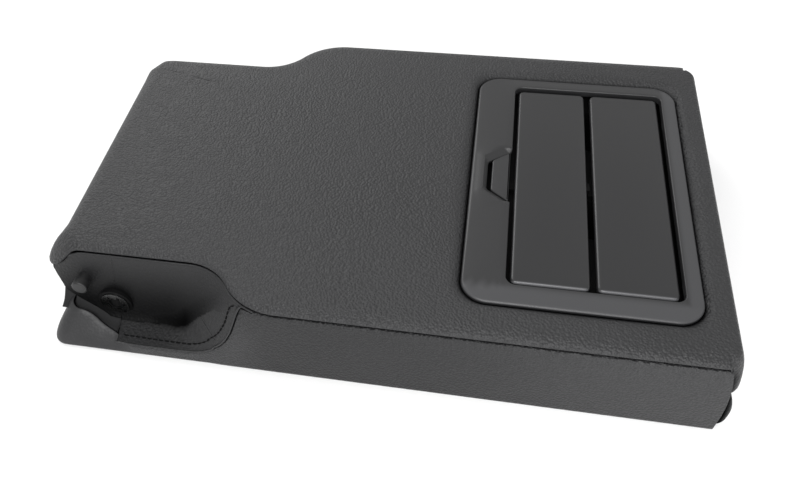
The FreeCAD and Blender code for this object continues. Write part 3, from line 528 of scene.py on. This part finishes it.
skirt_rows = []
skirt_dark = []
edge_row = skirt_points(np.zeros(len(skirt_x)))
for share in (0.0, 0.5, 0.9):
    skirt_rows.append(edge_row * [1.0, share, 1.0] + [0.0, 0.0, 0.2])
    skirt_dark.append(np.zeros(len(skirt_x)))
for share in 0.5 - 0.5 * np.cos(np.pi * np.linspace(0.02, 1.0, 46)):
    skirt_rows.append(skirt_points(skirt_rim * share))
    # Painted shade: a faint near-black tint over the middle of each side and a heavy one on the folded front
    # edges.
    shaded = 0.2 * ease(skirt_x, -75.0, -50.0) * (1.0 - ease(skirt_x, 20.0, 150.0))
    skirt_dark.append(np.where(front_fold > 1.0, 0.9, shaded))
for inset, drop in ((2.0, 0.1), (4.0, 1.0)):
    row = skirt_points(skirt_rim)
    tuck = inset * mix(0.2, 1.0, ease(skirt_x, -150.0, -110.0))
    row[:, :2] = row[:, :2] - skirt_normal * tuck[:, None]
    row[:, 2] = row[:, 2] - drop
    skirt_rows.append(row)
    # The tuck under the seam is painted fully dark as shade.
    skirt_dark.append(np.ones(len(skirt_x)))
side_leather = surface("side_leather", np.array(skirt_rows))
darken(side_leather, skirt_dark)
calm = (1.0 - ease(skirt_x, -140.0, -112.0)) * np.ones((len(skirt_rows), 1))
store(side_leather, "calm", calm)
print("side leather", len(side_leather.data.polygons), "faces")

ROLL_HALF = 117.2
ROLL_FRONT = 187.6
ROLL_CORNER = 6.0
ROLL_TOP = 26.5
roll_side = plan_side(lambda x: np.full(np.shape(x), ROLL_HALF), 160.0, ROLL_FRONT, 1.0, ROLL_CORNER)[10:]
roll_plan = evenly(np.vstack([roll_side, roll_side[::-1] * MIRROR[:2]]), 220)
roll_normal = outward_open(roll_plan)
roll_profile = [(16.0, 0.6), (9.0, 0.3)]
for height in np.linspace(0.3, ROLL_TOP, 26):
    upper = 6.5 * np.clip((height - 9.0) / 17.5, 0.0, 1.0) ** 1.7
    lower = 2.0 * (1.0 - np.sqrt(1.0 - np.clip(1.0 - height / 5.0, 0.0, 1.0) ** 2))
    roll_profile.append((upper + lower, height))
roll_profile.extend([(9.0, 27.2), (14.0, 27.0)])
roll_rows = np.array([at_height(roll_plan - roll_normal * inset, height) for inset, height in roll_profile])
front_roll = surface("front_roll", roll_rows)
roll_x = roll_rows[:, :, 0]
roll_y = np.abs(roll_rows[:, :, 1])
roll_z = roll_rows[:, :, 2]
# Painted shadow: the roll is turned near-black behind the folded front edges of the panels, fading ahead of
# them, and along its top in the groove.
panel_edge = BASE_FRONT - front_lean(roll_z)
behind_edge = ease(roll_y, 109.0, 113.0) * (1.0 - 0.75 * ease(roll_x - panel_edge, 2.5, 6.5))
darken(front_roll, np.maximum(behind_edge, ease(roll_z, 23.0, 27.0)))

# %% [markdown]
# ## Lining of the hinge recess
#
# The lining falls from the seam down the wall of the neck, turns in a soft corner and runs out over the
# ledge to the stitched band. Each column is a conic arc from the seam point A to the band point B,
# pulled towards the corner K by a weight. Behind the ledge the wall ends early, in a sloping raw edge
# over the felt.

# %% Lining of the hinge recess
CORNER_X = (-147.0, -124.0, -112.0, -104.0, -96.5, -84.0, -66.0)
CORNER_Z = (8.5, 8.8, 10.5, 16.0, 25.0, 38.0, 49.0)
CORNER_PULL = 7.0
RAW_EDGE = np.array([
    (-186.4, 35.4), (-180.2, 26.0), (-178.8, 23.2), (-167.8, 17.5), (-153.0, 10.2), (-147.0, 9.8),
])
LINING_REAR = -185.6
LEDGE_END = -147.0
BAND_HALF = 119.2
BAND_LOW = 9.4
BAND_STEP = 0.9
SEAM_IN = 0.5
SEAM_BELOW = 0.4
WALL_IN = (0.9, 0.85)
LINING_ROWS = 64
SIDES = (("right", 1.0), ("left", -1.0))


def conic(a, k, b, share):
    """Conic arc ((1-v)^2 A + 2 w v (1-v) K + v^2 B) / ((1-v)^2 + 2 w v (1-v) + v^2)."""
    v = share[:, None, None]
    start = (1.0 - v) ** 2
    pull = 2.0 * CORNER_PULL * v * (1.0 - v)
    end = v ** 2
    return (start * a + pull * k + end * b) / (start + pull + end)


def lining_lines(count):
    """The three guide lines of the lining on the near side: seam A, corner K and band B."""
    part = np.linspace(0.0, 1.0, count)
    inner = BAND[BAND[:, 0] > LEDGE_END]
    band_x, band_z = evenly(np.vstack([[LEDGE_END, BAND_LOW], inner]), count).T
    band_half = np.minimum(BAND_HALF, half_width(band_x, band_z) - 0.2)
    band_half = np.where(band_x < -84.0, BAND_HALF, band_half)
    along_x, along_z = unit(np.gradient(np.column_stack([band_x, band_z]), axis=0)).T
    b = np.column_stack([band_x - BAND_STEP * along_z, -band_half, band_z + BAND_STEP * along_x])
    seam_x = mix(LEDGE_END, -64.8, part)
    a = np.column_stack([seam_x, -half_width(seam_x, SEAM) + SEAM_IN, seam_height_at(seam_x) - SEAM_BELOW])
    corner_x = mix(LEDGE_END, CORNER_X[-1], part)
    corner_z = np.interp(corner_x, CORNER_X, CORNER_Z)
    corner_in = WALL_IN[0] * (1.0 - ease(part, 0.15, 0.55))
    k = np.column_stack([corner_x, -half_width(corner_x, corner_z) + corner_in, corner_z])
    return a, k, b


def rear_lines(count):
    """The same three lines behind the ledge, where only the upper part of the wall is covered."""
    x = np.linspace(LINING_REAR, LEDGE_END + 0.8, count)
    seam_in = mix(-0.2, SEAM_IN, ease(x, -173.0, -162.0))
    joint_in = 0.25 * ease(x, LEDGE_END - 1.2, LEDGE_END)
    wall_low = CORNER_Z[0]
    a = np.column_stack([x, -half_width(x, SEAM) + seam_in + joint_in, seam_height_at(x) - SEAM_BELOW])
    k = np.column_stack([x, -half_width(x, wall_low) + WALL_IN[1] + joint_in, np.full(count, wall_low)])
    b = np.column_stack([x, np.full(count, -BAND_HALF), np.full(count, BAND_LOW)])
    return a, k, b


share = np.linspace(0.0, 1.0, LINING_ROWS)
front_full = conic(*lining_lines(150), np.linspace(0.0, 1.0, 600))
front_grid = np.stack([evenly(line, LINING_ROWS) for line in front_full.swapaxes(0, 1)], axis=1)
ledge_end = ease(share, 0.6, 1.0)[:, None] * (1.0 - ease(front_grid[:, :, 0], LEDGE_END, -125.0))
front_grid[:, :, 0] += 4.0 * ledge_end
rear_full = conic(*rear_lines(48), np.linspace(0.0, 1.0, 400))
rear_grid = np.zeros((LINING_ROWS, rear_full.shape[1], 3))
for column in range(rear_full.shape[1]):
    line = rear_full[:, column]
    raw_edge = np.interp(line[0, 0], RAW_EDGE[:, 0], RAW_EDGE[:, 1])
    last = int(np.argmax(line[:, 2] < raw_edge))
    rear_grid[:, column] = evenly(line[:last], LINING_ROWS)
near_lining = np.concatenate([rear_grid, front_grid], axis=1)
lining_x, lining_y, lining_z = (near_lining[:, :, axis] for axis in range(3))
on_ledge = ease(-lining_y, 100.0, 106.0) * ease(-lining_x, 96.0, 104.0)
on_ledge = on_ledge * (1.0 - ease(-lining_y, 112.0, 116.0))
ripple = np.sin(1.5 * lining_x + 1.1 * lining_y) + 0.7 * np.sin(2.3 * lining_x - 0.4 * lining_y + 1.0)
lining_z += 0.08 * on_ledge * ripple
# lining_dark is painted shade: deepest in the concave corner of the wall and the ledge, fainter over the
# wall, and near-black along the seam at the top edge.
corner_line_z = np.interp(lining_x, CORNER_X, CORNER_Z)
corner_line_y = -half_width(lining_x, corner_line_z)
from_corner = np.hypot(lining_y - corner_line_y, lining_z - corner_line_z)
reach = np.interp(lining_x, (-160.0, -130.0, -105.0, -85.0), (6.0, 14.0, 20.0, 9.0))
reach = np.where(lining_y < corner_line_y - 2.0, 0.22 * reach, reach)
CORNER_SHADE_X = (-170.0, -147.0, -125.0, -105.0, -92.0, -78.0)
corner_shade = np.interp(lining_x, CORNER_SHADE_X, (0.0, 0.5, 0.9, 0.97, 0.6, 0.1))
lining_dark = corner_shade * np.exp(-((from_corner / reach) ** 2))
on_wall = ease(seam_height_at(lining_x) - lining_z, -8.0, 34.0) * ease(-lining_x, 70.0, 95.0)
lining_dark = np.maximum(lining_dark, 0.8 * on_wall * (lining_y > corner_line_y - 2.0))
lining_dark = np.maximum(lining_dark, 0.9 * ease(lining_z - seam_height_at(lining_x), -1.5, -0.9))
linings = []
for side, sign in SIDES:
    grid = near_lining * [1.0, sign, 1.0]
    piece = surface("recess_lining_" + side, grid, flip=sign > 0.0, slit=rear_grid.shape[1] - 1)
    linings.append(darken(thicken(piece, LEATHER_THICKNESS), lining_dark))
print("linings", [len(piece.data.polygons) for piece in linings])

# %% [markdown]
# ## Stitches and welt of the band
#
# One row of thread runs beside the band. Each stitch is a short spindle lying on the lining. Thin welts
# follow the band and the seam above the wall, and a fine crease lies across the end of the ledge.

# %% Stitches and welt of the band
TUBE_UP = np.array([0.0, -0.6, 0.8])
THREAD_INSET = 5.6
THREAD_PITCH = 3.4
THREAD_RADIUS = 0.45
THREAD_STEPS = 8
THREAD_LIFT = 0.3
WELT_RADIUS = 0.6
CREASE_X = -94.0
CREASE_RADIUS = 0.4


def tube_along(path, radius, sides=8):
    """A tube round a path: ring points p + r (n cos a + m sin a), n and m at right angles to it."""
    tangent = unit(np.gradient(path, axis=0))
    n = unit(np.cross(tangent, TUBE_UP))
    m = np.cross(tangent, n)
    angle = np.linspace(0.0, 2.0 * np.pi, sides, endpoint=False)[:, None]
    ring = n[:, None, :] * np.cos(angle) + m[:, None, :] * np.sin(angle)
    radius = np.broadcast_to(np.asarray(radius, float), (len(path),))
    points = path[:, None, :] + ring * radius[:, None, None]
    faces = grid_faces(len(path), sides, False, True).tolist()
    faces.append(list(range(sides))[::-1])
    last = (len(path) - 1) * sides
    faces.append(list(range(last, last + sides)))
    return points.reshape(-1, 3), faces


def along_lining(inset):
    """Line on the lining that keeps a distance from the band, measured across the lining."""
    line = []
    for column in range(front_grid.shape[1]):
        across = front_grid[::-1, column]
        gone = lengths_along(across)
        place = min(inset, 0.7 * gone[-1])
        raised = across + THREAD_LIFT * lining_normal[::-1, column]
        line.append([np.interp(place, gone, raised[:, k]) for k in range(3)])
    return np.array(line)


def spindle(radius, tip, count):
    """Radii r sqrt(sin(pi t)) of a spindle, with t from tip to 1 - tip."""
    return radius * np.sqrt(np.sin(np.pi * np.linspace(tip, 1.0 - tip, count)))


across_x = np.gradient(front_grid, axis=1)
across_v = np.gradient(front_grid, axis=0)
lining_normal = unit(np.cross(across_v, across_x))
near_stitches = []
thread_line = along_lining(THREAD_INSET)
thread_count = int(lengths_along(thread_line)[-1] / THREAD_PITCH)
fine = evenly(thread_line, thread_count * THREAD_STEPS + 1)
for first in range(THREAD_STEPS, (thread_count - 2) * THREAD_STEPS, THREAD_STEPS):
    path = fine[first:first + THREAD_STEPS - 1]
    near_stitches.append(tube_along(path, spindle(THREAD_RADIUS, 0.08, THREAD_STEPS - 1)))
print("stitches on each side", len(near_stitches))
thread_points = sum(len(points) for points, _ in near_stitches)
seam_line = near_lining[0, 4:] + [0.0, -0.4, -0.4]
band_open = np.linalg.norm(front_grid[-1] - front_grid[0], axis=1) > 4.0
band_line = front_grid[-1, band_open] + [0.0, -0.2, 0.2]
for line in (seam_line, band_line):
    near_stitches.append(tube_along(evenly(line, 160), WELT_RADIUS))
crease_column = int(np.argmin(np.abs(front_grid[40, :, 0] - CREASE_X)))
crease_line = evenly(front_grid[38:60, crease_column], 30) + [0.0, 0.0, 0.05]
near_stitches.append(tube_along(crease_line, spindle(CREASE_RADIUS, 0.06, 30)))
stitch_points, stitch_faces = stack(*near_stitches)
stitches = []
for side, sign in SIDES:
    faces = stitch_faces if sign > 0.0 else [face[::-1] for face in stitch_faces]
    piece = mesh_piece("recess_stitches_" + side, stitch_points * [1.0, sign, 1.0], faces)
    stitches.append(darken(piece, 0.8 * (np.arange(len(stitch_points)) < thread_points)))

# %% [markdown]
# ## Felt behind the raw edge
#
# A dark felt strip closes the gap between the sloping edge of the wall and the soft lip below it.

# %% Felt behind the raw edge
felt_x = np.linspace(-179.4, -146.0, 30)
felt_top = np.interp(felt_x, RAW_EDGE[:, 0], RAW_EDGE[:, 1]) + 1.0
felt_half = half_width(felt_x, felt_top) - 1.6
lip_lean = np.interp(felt_x, SIDE_LEAN[:, 0], SIDE_LEAN[:, 1])
felt_rows = []
for part in np.linspace(0.0, 1.0, 8):
    y = -mix(felt_half, BASE_HALF - lip_lean - 2.5, part)
    z = mix(felt_top, rim_height(felt_x) - 2.0, part) - 1.5 * np.sin(np.pi * part)
    felt_rows.append(np.column_stack([felt_x, y, z]))
felts = []
for side, sign in SIDES:
    piece = surface("side_felt_" + side, np.array(felt_rows) * [1.0, sign, 1.0], flip=sign > 0.0)
    felts.append(thicken(piece, FELT_THICKNESS))

# %% [markdown]
# ## Bezel
#
# The moulded frame of the cup holder is a closed ring. Its inner outline is the opening with a
# trapezoid notch for the button, and its outer outline is a rounded rectangle met along the same rays
# from the centre. The outer edge is well rounded, the inner edge only a little, and more at the notch.

# %% Bezel
BEZEL_LOW = 50.6
BEZEL_TOP = 54.5
BEZEL_FALL = 0.8
# The opening has two ends and a half width, the notch an end and its narrow and wide half widths.
OPENING = (68.0, 156.2, 82.2)
OPENING_ROUND = 5.0
NOTCH = (54.6, 12.0, 21.8)
BEZEL_COLUMNS = 520
OUTER_ROUND = 2.2
OUTER_FALL = 1.4

round_y = OPENING_ROUND - OPENING[2]
opening_right = np.vstack([
    [[NOTCH[0], -NOTCH[1] + 1.5], [NOTCH[0] + 0.5, -NOTCH[1]]],
    [[OPENING[0] - 0.6, -NOTCH[2] + 0.6], [OPENING[0], -NOTCH[2] - 0.6]],
    arc(OPENING[0] + OPENING_ROUND, round_y, OPENING_ROUND, 180.0, 270.0),
    arc(OPENING[1] - OPENING_ROUND, round_y, OPENING_ROUND, 270.0, 360.0),
])
opening_loop = evenly(mirror_loop(opening_right), BEZEL_COLUMNS, closed=True)
outer_loop = on_round_box(opening_loop, BEZEL_CENTRE, BEZEL_Y, bezel_half, BEZEL_HALF, BEZEL_ROUND)
across = unit(outer_loop - opening_loop)
in_notch = ease(-opening_loop[:, 0], -OPENING[0] - 0.5, -OPENING[0] + 1.5)[:, None]
slanted = ease(np.abs(opening_loop[:, 1]), 11.5, 13.0)[:, None]
inner_round = mix(0.8, mix(2.3, 4.6, slanted), in_notch)
inner_fall = mix(0.8, 2.6, in_notch)
bezel_rows = [at_height(opening_loop, BEZEL_LOW)]
for share in np.linspace(0.0, 1.0, 7):
    angle = 0.5 * np.pi * share
    out = mix(1.0 - np.cos(angle), share, in_notch)
    fall = mix(1.0 - np.sin(angle), 1.0 - share, in_notch)
    spot = opening_loop + across * inner_round * out
    bezel_rows.append(at_height(spot, BEZEL_TOP - (inner_fall * fall)[:, 0]))
for part in (0.2, 0.4, 0.6, 0.8):
    spot = mix(opening_loop + across * inner_round, outer_loop - across * OUTER_ROUND, part)
    bezel_rows.append(at_height(spot, BEZEL_TOP - BEZEL_FALL * part ** 1.5))
for angle in np.radians(np.linspace(90.0, 0.0, 9)):
    spot = outer_loop - across * OUTER_ROUND * (1.0 - np.cos(angle))
    bezel_rows.append(at_height(spot, BEZEL_TOP - BEZEL_FALL - OUTER_FALL * (1.0 - np.sin(angle))))
bezel_rows.append(at_height(outer_loop, BEZEL_LOW))
bezel_spots = np.array(bezel_rows)
bezel = crisp(surface("bezel_ring", bezel_spots, close_rows=True, close_columns=True, flip=True))
# Painted highlight: the near and front strips of the upper face are drawn in a lighter colour, standing for
# the light that falls on them.
near_strip = ease(-bezel_spots[:, :, 1], 82.0, 86.0)
front_strip = ease(bezel_spots[:, :, 0], 156.0, 159.0)
upper_face = ease(bezel_spots[:, :, 2], 52.2, 52.8)
store(bezel, "painted_highlight", np.maximum(near_strip, 0.85 * front_strip) * upper_face)
print("bezel", len(bezel.data.polygons), "faces")

# %% [markdown]
# ## Flaps and button
#
# Each flap is a plate with rounded corners and edges, two knuckles on its hinge line and a striker for
# the latch. The button fills the notch as a low trapezoid plate on a stem.

# %% Flaps and button
FLAP_HALF = 80.0
FLAP_Z = (50.2, 53.2)
FLAP_CORNER = 3.0
FLAP_EDGE = 1.6
STRIKER_HALF = 8.0
STRIKER_LOW = 46.4
HINGE_Z = 48.6
KNUCKLE_RADIUS = 2.6
KNUCKLE_LENGTH = 8.0
KNUCKLE_Y = (-64.0, 56.0)


def flap_piece(name, x_low, x_high, hinge_x, striker):
    """A flap with its knuckles and striker, from the limits of its plate and the place of its hinge line."""
    corner_y = FLAP_CORNER - FLAP_HALF
    right = np.vstack([
        arc(x_low + FLAP_CORNER, corner_y, FLAP_CORNER, 180.0, 270.0),
        arc(x_high - FLAP_CORNER, corner_y, FLAP_CORNER, 270.0, 360.0),
    ])
    outline = evenly(mirror_loop(right), 320, closed=True)
    parts = [slab(outline, *FLAP_Z, FLAP_EDGE)]
    parts.append(box(striker, (-STRIKER_HALF, STRIKER_HALF), (STRIKER_LOW, FLAP_Z[0])))
    for y in KNUCKLE_Y:
        parts.append(tube_y(hinge_x, HINGE_Z, KNUCKLE_RADIUS, y, y + KNUCKLE_LENGTH))
    points, faces = stack(*parts)
    # Painted highlight: a thin line along the rounded near edge of the plate is drawn lighter, standing for
    # a glint.
    near_edge = ease(-points[:, 1], FLAP_HALF - 1.3, FLAP_HALF - 0.7) * ease(points[:, 2], 51.6, 52.0)
    return store(crisp(mesh_piece(name, points, faces)), "painted_highlight", near_edge)


rear_flap = flap_piece("rear_flap_plate", 70.4, 110.4, 73.2, (106.4, 108.9))
front_flap = flap_piece("front_flap_plate", 113.8, 153.8, 151.0, (115.3, 117.8))

button_corners = mirror_loop(np.array([
    [57.0, -11.6], [57.4, -12.7], [58.2, -13.6],
    [66.0, -19.8], [66.9, -20.2], [67.2, -19.4],
]))
button_plate = slab(evenly(button_corners, 160, closed=True), 50.6, 52.8, 0.9)
button_stem = box((59.6, 65.6), (-4.0, 4.0), (44.8, 50.6))
button = crisp(mesh_piece("button_plate", *stack(button_plate, button_stem)))

# %% [markdown]
# ## A small language for shaders
#
# `Value` wraps one output socket, so sums and products of patterns read as plain arithmetic. `Shader`
# holds the node tree of one material and makes every other node.

# %% A small language for shaders
class Value:
    """An output socket that takes part in arithmetic."""

    def __init__(self, shader, socket):
        self.shader = shader
        self.socket = socket

    def calculate(self, operation, *others):
        """One maths node with this value as its first input."""
        node = self.shader.tree.nodes.new("ShaderNodeMath")
        node.operation = operation
        for place, item in enumerate((self, *others)):
            self.shader.feed(node.inputs[place], item)
        return Value(self.shader, node.outputs[0])

    def __add__(self, other):
        return self.calculate("ADD", other)

    def __radd__(self, other):
        return self.calculate("ADD", other)

    def __sub__(self, other):
        return self.calculate("SUBTRACT", other)

    def __rsub__(self, other):
        return (self * -1.0) + other

    def __mul__(self, other):
        return self.calculate("MULTIPLY", other)

    def __rmul__(self, other):
        return self.calculate("MULTIPLY", other)

    def __truediv__(self, other):
        return self.calculate("DIVIDE", other)

    def __rtruediv__(self, other):
        return (self ** -1.0) * other

    def __pow__(self, other):
        return self.calculate("POWER", other)

    def step(self, start, end):
        """Smooth step of this value between two limits."""
        node = self.shader.node("ShaderNodeMapRange", Value=self)
        node.interpolation_type = "SMOOTHSTEP"
        node.inputs["From Min"].default_value = start
        node.inputs["From Max"].default_value = end
        return Value(self.shader, node.outputs[0])


class Shader:
    """One material with a Principled surface."""

    def __init__(self, name):
        self.material = bpy.data.materials.new(name)
        self.material.use_nodes = True
        self.tree = self.material.node_tree
        self.surface = self.tree.nodes["Principled BSDF"]
        coordinates = self.tree.nodes.new("ShaderNodeTexCoord")
        self.place = Value(self, coordinates.outputs["Object"])

    def feed(self, socket, item):
        """Links a value to a socket, or sets a constant on it."""
        if isinstance(item, Value):
            self.tree.links.new(item.socket, socket)
        else:
            socket.default_value = item

    def node(self, kind, **inputs):
        """A new node of a kind with its inputs fed by name."""
        made = self.tree.nodes.new(kind)
        for label, item in inputs.items():
            self.feed(made.inputs[label.replace("_", " ")], item)
        return made

    def noise(self, scale, detail=3.0):
        """Noise between about 0.3 and 0.7 with a scale per metre."""
        made = self.node("ShaderNodeTexNoise", Vector=self.place, Scale=scale, Detail=detail)
        return Value(self, made.outputs[0])

    def cells(self, scale, smooth=0.3):
        """Distance to the nearest cell point of a Voronoi pattern with a scale per metre."""
        made = self.tree.nodes.new("ShaderNodeTexVoronoi")
        made.feature = "SMOOTH_F1"
        for label, item in (("Vector", self.place), ("Scale", scale), ("Smoothness", smooth)):
            self.feed(made.inputs[label], item)
        return Value(self, made.outputs["Distance"])

    def stored(self, name):
        """A number stored at the points of the mesh."""
        made = self.tree.nodes.new("ShaderNodeAttribute")
        made.attribute_name = name
        return Value(self, made.outputs["Fac"])

    def shade(self, amount):
        """Turns the surface into a dull near-black by an amount from 0 to 1."""
        dull = self.node("ShaderNodeBsdfDiffuse", Color=grey(0.0012))
        both = self.node("ShaderNodeMixShader", Fac=amount)
        self.tree.links.new(self.surface.outputs[0], both.inputs[1])
        self.tree.links.new(dull.outputs[0], both.inputs[2])
        self.tree.links.new(both.outputs[0], self.tree.nodes["Material Output"].inputs["Surface"])

    def blend(self, factor, low, high):
        """Colour between two colours by a factor."""
        made = self.tree.nodes.new("ShaderNodeMix")
        made.data_type = "RGBA"
        self.feed(made.inputs[0], factor)
        self.feed(made.inputs[6], low)
        self.feed(made.inputs[7], high)
        return Value(self, made.outputs[2])

    def bump(self, height, distance, strength=1.0):
        """Lets a height in units of the distance, in metres, tilt the surface."""
        made = self.node("ShaderNodeBump", Height=height, Distance=distance, Strength=strength)
        self.feed(self.surface.inputs["Normal"], Value(self, made.outputs[0]))

    def set(self, **inputs):
        """Feeds inputs of the surface by name."""
        for label, item in inputs.items():
            self.feed(self.surface.inputs[label.replace("_", " ")], item)
        return self


def grey(level, blue=1.06):
    """Linear RGBA of a slightly cool grey."""
    return (level, level * 1.005, level * blue, 1.0)


# %% [markdown]
# ## Materials
#
# The leather is charcoal with a pebble grain of about 1.4 mm and a broad, faint change of tone. The
# plastics are satin. The felt is matt and nearly black.

# %% Materials
def leather(name, level, grain=1.0, rough=0.5):
    """Grained leather of a tone, with a grain strength."""
    shader = Shader(name)
    grained = 1.0 - shader.stored("calm") * 0.85
    pebbles = 1.0 - shader.cells(720.0) * 1.5
    fine = shader.noise(1900.0, 2.0)
    broad = shader.noise(14.0, 3.0)
    shader.bump((pebbles * 0.8 + fine * 0.35) * grained, 0.00042 * grain, 0.85)
    valley = pebbles.step(0.1, 0.75)
    tone = broad.step(0.3, 0.7) * 0.5 + valley * 0.5
    shader.set(Base_Color=shader.blend(tone, grey(level * 0.78), grey(level * 1.16)))
    shader.set(Roughness=rough + (broad - 0.5) * 0.18, Specular_IOR_Level=0.42)
    # Painted shade: the crease attribute turns the leather into a dull near-black in creases, grooves and
    # recesses.
    shader.shade(shader.stored("crease"))
    return shader.material


def plain(name, colour, rough, metal=0.0, grain=0.0, scale=2500.0, shine=0.5, painted_highlight=None):
    """A plain finish, with a fine texture where grain is above zero, and a lighter second colour as a
    painted highlight where the stored attribute asks for it.
    """
    shader = Shader(name)
    shader.set(Base_Color=colour, Roughness=rough, Metallic=metal, Specular_IOR_Level=shine)
    if painted_highlight is not None:
        shader.set(Base_Color=shader.blend(shader.stored("painted_highlight"), colour, painted_highlight))
    if grain > 0.0:
        shader.bump(shader.noise(scale, 2.0), 0.0002 * grain, 0.6)
    return shader.material


finishes = {
    "leather": leather("leather", 0.022, grain=1.6),
    # The lining leather is smoother than the top and darker: partly its own tone, partly painted shade for
    # the recess.
    "leather_lining": leather("leather_lining", 0.016, grain=0.6, rough=0.5),
    "felt": plain("felt", grey(0.012), 0.95, grain=2.0, scale=900.0),
    "foam": plain("foam", grey(0.02), 0.9, grain=1.5, scale=700.0),
    "carrier_plastic": plain("carrier_plastic", grey(0.02), 0.5),
    "painted_steel": plain("painted_steel", grey(0.015), 0.4),
    "bush_plastic": plain("bush_plastic", grey(0.003), 0.5, shine=0.12),
    "bright_steel": plain("bright_steel", grey(0.5, 1.0), 0.32, metal=1.0),
    "stop_pin": plain("stop_pin", grey(0.008), 0.45),
    "dark_steel": plain("dark_steel", grey(0.16, 1.0), 0.22, metal=1.0),
    # The bezel and the flaps take a lighter second colour as a painted highlight along their near edges, the
    # bezel also along its front strip.
    "bezel_plastic": plain("bezel_plastic", grey(0.016), 0.4, grain=0.6, painted_highlight=grey(0.044)),
    "flap_plastic": plain("flap_plastic", grey(0.015), 0.34, grain=0.6, painted_highlight=grey(0.12)),
    "button_plastic": plain("button_plastic", grey(0.017), 0.38, grain=0.5),
    "tray_plastic": plain("tray_plastic", grey(0.003), 0.6, shine=0.12),
    "mat_rubber": plain("mat_rubber", grey(0.012), 0.7),
    "spring_steel": plain("spring_steel", grey(0.45, 1.0), 0.3, metal=1.0),
}

NODES_OF_FINISH = {
    "felt": ["rear_felt"],
    "foam": ["foam_core"],
    "carrier_plastic": ["carrier", "carrier_cheek_left", "carrier_cheek_right", "tray_posts"],
    "painted_steel": ["hinge_bracket_left", "hinge_bracket_right", "cross_tube"],
    "bush_plastic": ["pivot_bush_left", "pivot_bush_right"],
    "dark_steel": ["star_washer_left", "star_washer_right"],
    "stop_pin": ["stop_pin_left", "stop_pin_right"],
    "bright_steel": ["bracket_screws", "tray_screws", "rear_hinge_pin", "front_hinge_pin"],
    "tray_plastic": ["cup_tray", "latch_slider"],
    "mat_rubber": ["cup_mat_left", "cup_mat_right"],
    "spring_steel": ["rear_flap_springs", "front_flap_springs", "latch_spring", "button_springs"],
}
for finish, node_names in NODES_OF_FINISH.items():
    for node_name in node_names:
        data = frame["nodes"][node_name].data
        data.materials.clear()
        data.materials.append(finishes[finish])
print("finishes", len(finishes))

# %% [markdown]
# ## Bodies, replaced solids and finishes
#
# Every piece rides a body of the CAD model, hides the solids it stands for and takes a finish. The
# padded top leather stands for the top cover and the foam core together.

# %% Bodies, replaced solids and finishes
def dress(piece, body, finish, *nodes):
    """Lets a piece ride a body, stand for CAD nodes and take a finish."""
    piece.data.materials.clear()
    piece.data.materials.append(finishes[finish])
    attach(piece, body)
    if nodes:
        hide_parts(*nodes)


for piece in (top_leather, side_leather, front_roll):
    thicken(piece, LEATHER_THICKNESS)
dress(front_roll, "armrest", "leather")
dress(top_leather, "armrest", "leather", "top_cover", "foam_core")
dress(side_leather, "armrest", "leather", "side_cover_right", "side_cover_left", "bottom_cover")
for piece, node_name in zip(linings, ("recess_cover_right", "recess_cover_left")):
    dress(piece, "armrest", "leather_lining", node_name)
for piece in stitches:
    dress(piece, "armrest", "leather_lining")
for piece in felts:
    dress(piece, "armrest", "felt")
dress(bezel, "armrest", "bezel_plastic", "bezel")
dress(rear_flap, "rear_flap", "flap_plastic", "rear_flap")
dress(front_flap, "front_flap", "flap_plastic", "front_flap")
dress(button, "button", "button_plastic", "release_button")

# %% [markdown]
# ## Camera, floor and light
#
# The camera stands where the photograph was taken from. Its axes were found from the edges of the
# armrest. The floor is plain and pale, and three soft lamps and a bright surround light it.

# %% Camera, floor and light
scene = bpy.context.scene
camera_data = bpy.data.cameras.new("camera")
camera = bpy.data.objects.new("camera", camera_data)
scene.collection.objects.link(camera)
right_axis = Vector((0.9813, 0.1849, -0.0544)).normalized()
forward_axis = Vector((-0.1572, 0.6044, -0.7810)).normalized()
up_axis = right_axis.cross(forward_axis).normalized()
turn = Matrix((right_axis, up_axis, -forward_axis)).transposed().to_4x4()
camera.matrix_world = Matrix.Translation(Vector((38.7, -338.5, 359.8)) * MM) @ turn
camera_data.sensor_width = 36.0
camera_data.lens = 34.506
camera_data.shift_x = 0.0912
camera_data.shift_y = 0.0676
camera_data.clip_start = 0.01
scene.camera = camera

FLOOR_HALF = 4000.0
floor_corners = [(-1.0, -1.0, 0.0), (1.0, -1.0, 0.0), (1.0, 1.0, 0.0), (-1.0, 1.0, 0.0)]
floor = mesh_piece("floor", np.array(floor_corners) * FLOOR_HALF, [[0, 1, 2, 3]])
floor_finish = plain("floor", (0.9, 0.9, 0.9, 1.0), 0.9)
floor.data.materials.append(floor_finish)


def lamp(name, place, target, size, power):
    """A square soft lamp at a place, in millimetres, turned towards a target."""
    data = bpy.data.lights.new(name, "AREA")
    data.size = size * MM
    data.energy = power
    made = bpy.data.objects.new(name, data)
    scene.collection.objects.link(made)
    towards = Vector(target) - Vector(place)
    aim = towards.to_track_quat("-Z", "Y").to_matrix().to_4x4()
    made.matrix_world = Matrix.Translation(Vector(place) * MM) @ aim


lamp("far_lamp", (-700.0, 900.0, 800.0), (0.0, 60.0, 0.0), 700.0, 6.5)
lamp("near_lamp", (260.0, -560.0, 240.0), (150.0, -100.0, 30.0), 300.0, 1.3)
lamp("edge_lamp", (-40.0, -700.0, 900.0), (60.0, 0.0, 30.0), 320.0, 7.0)
world = bpy.data.worlds.new("surround")
world.use_nodes = True
background = world.node_tree.nodes["Background"]
background.inputs["Color"].default_value = (1.0, 1.0, 1.0, 1.0)
background.inputs["Strength"].default_value = 0.75
scene.world = world
scene.view_settings.view_transform = "Standard"
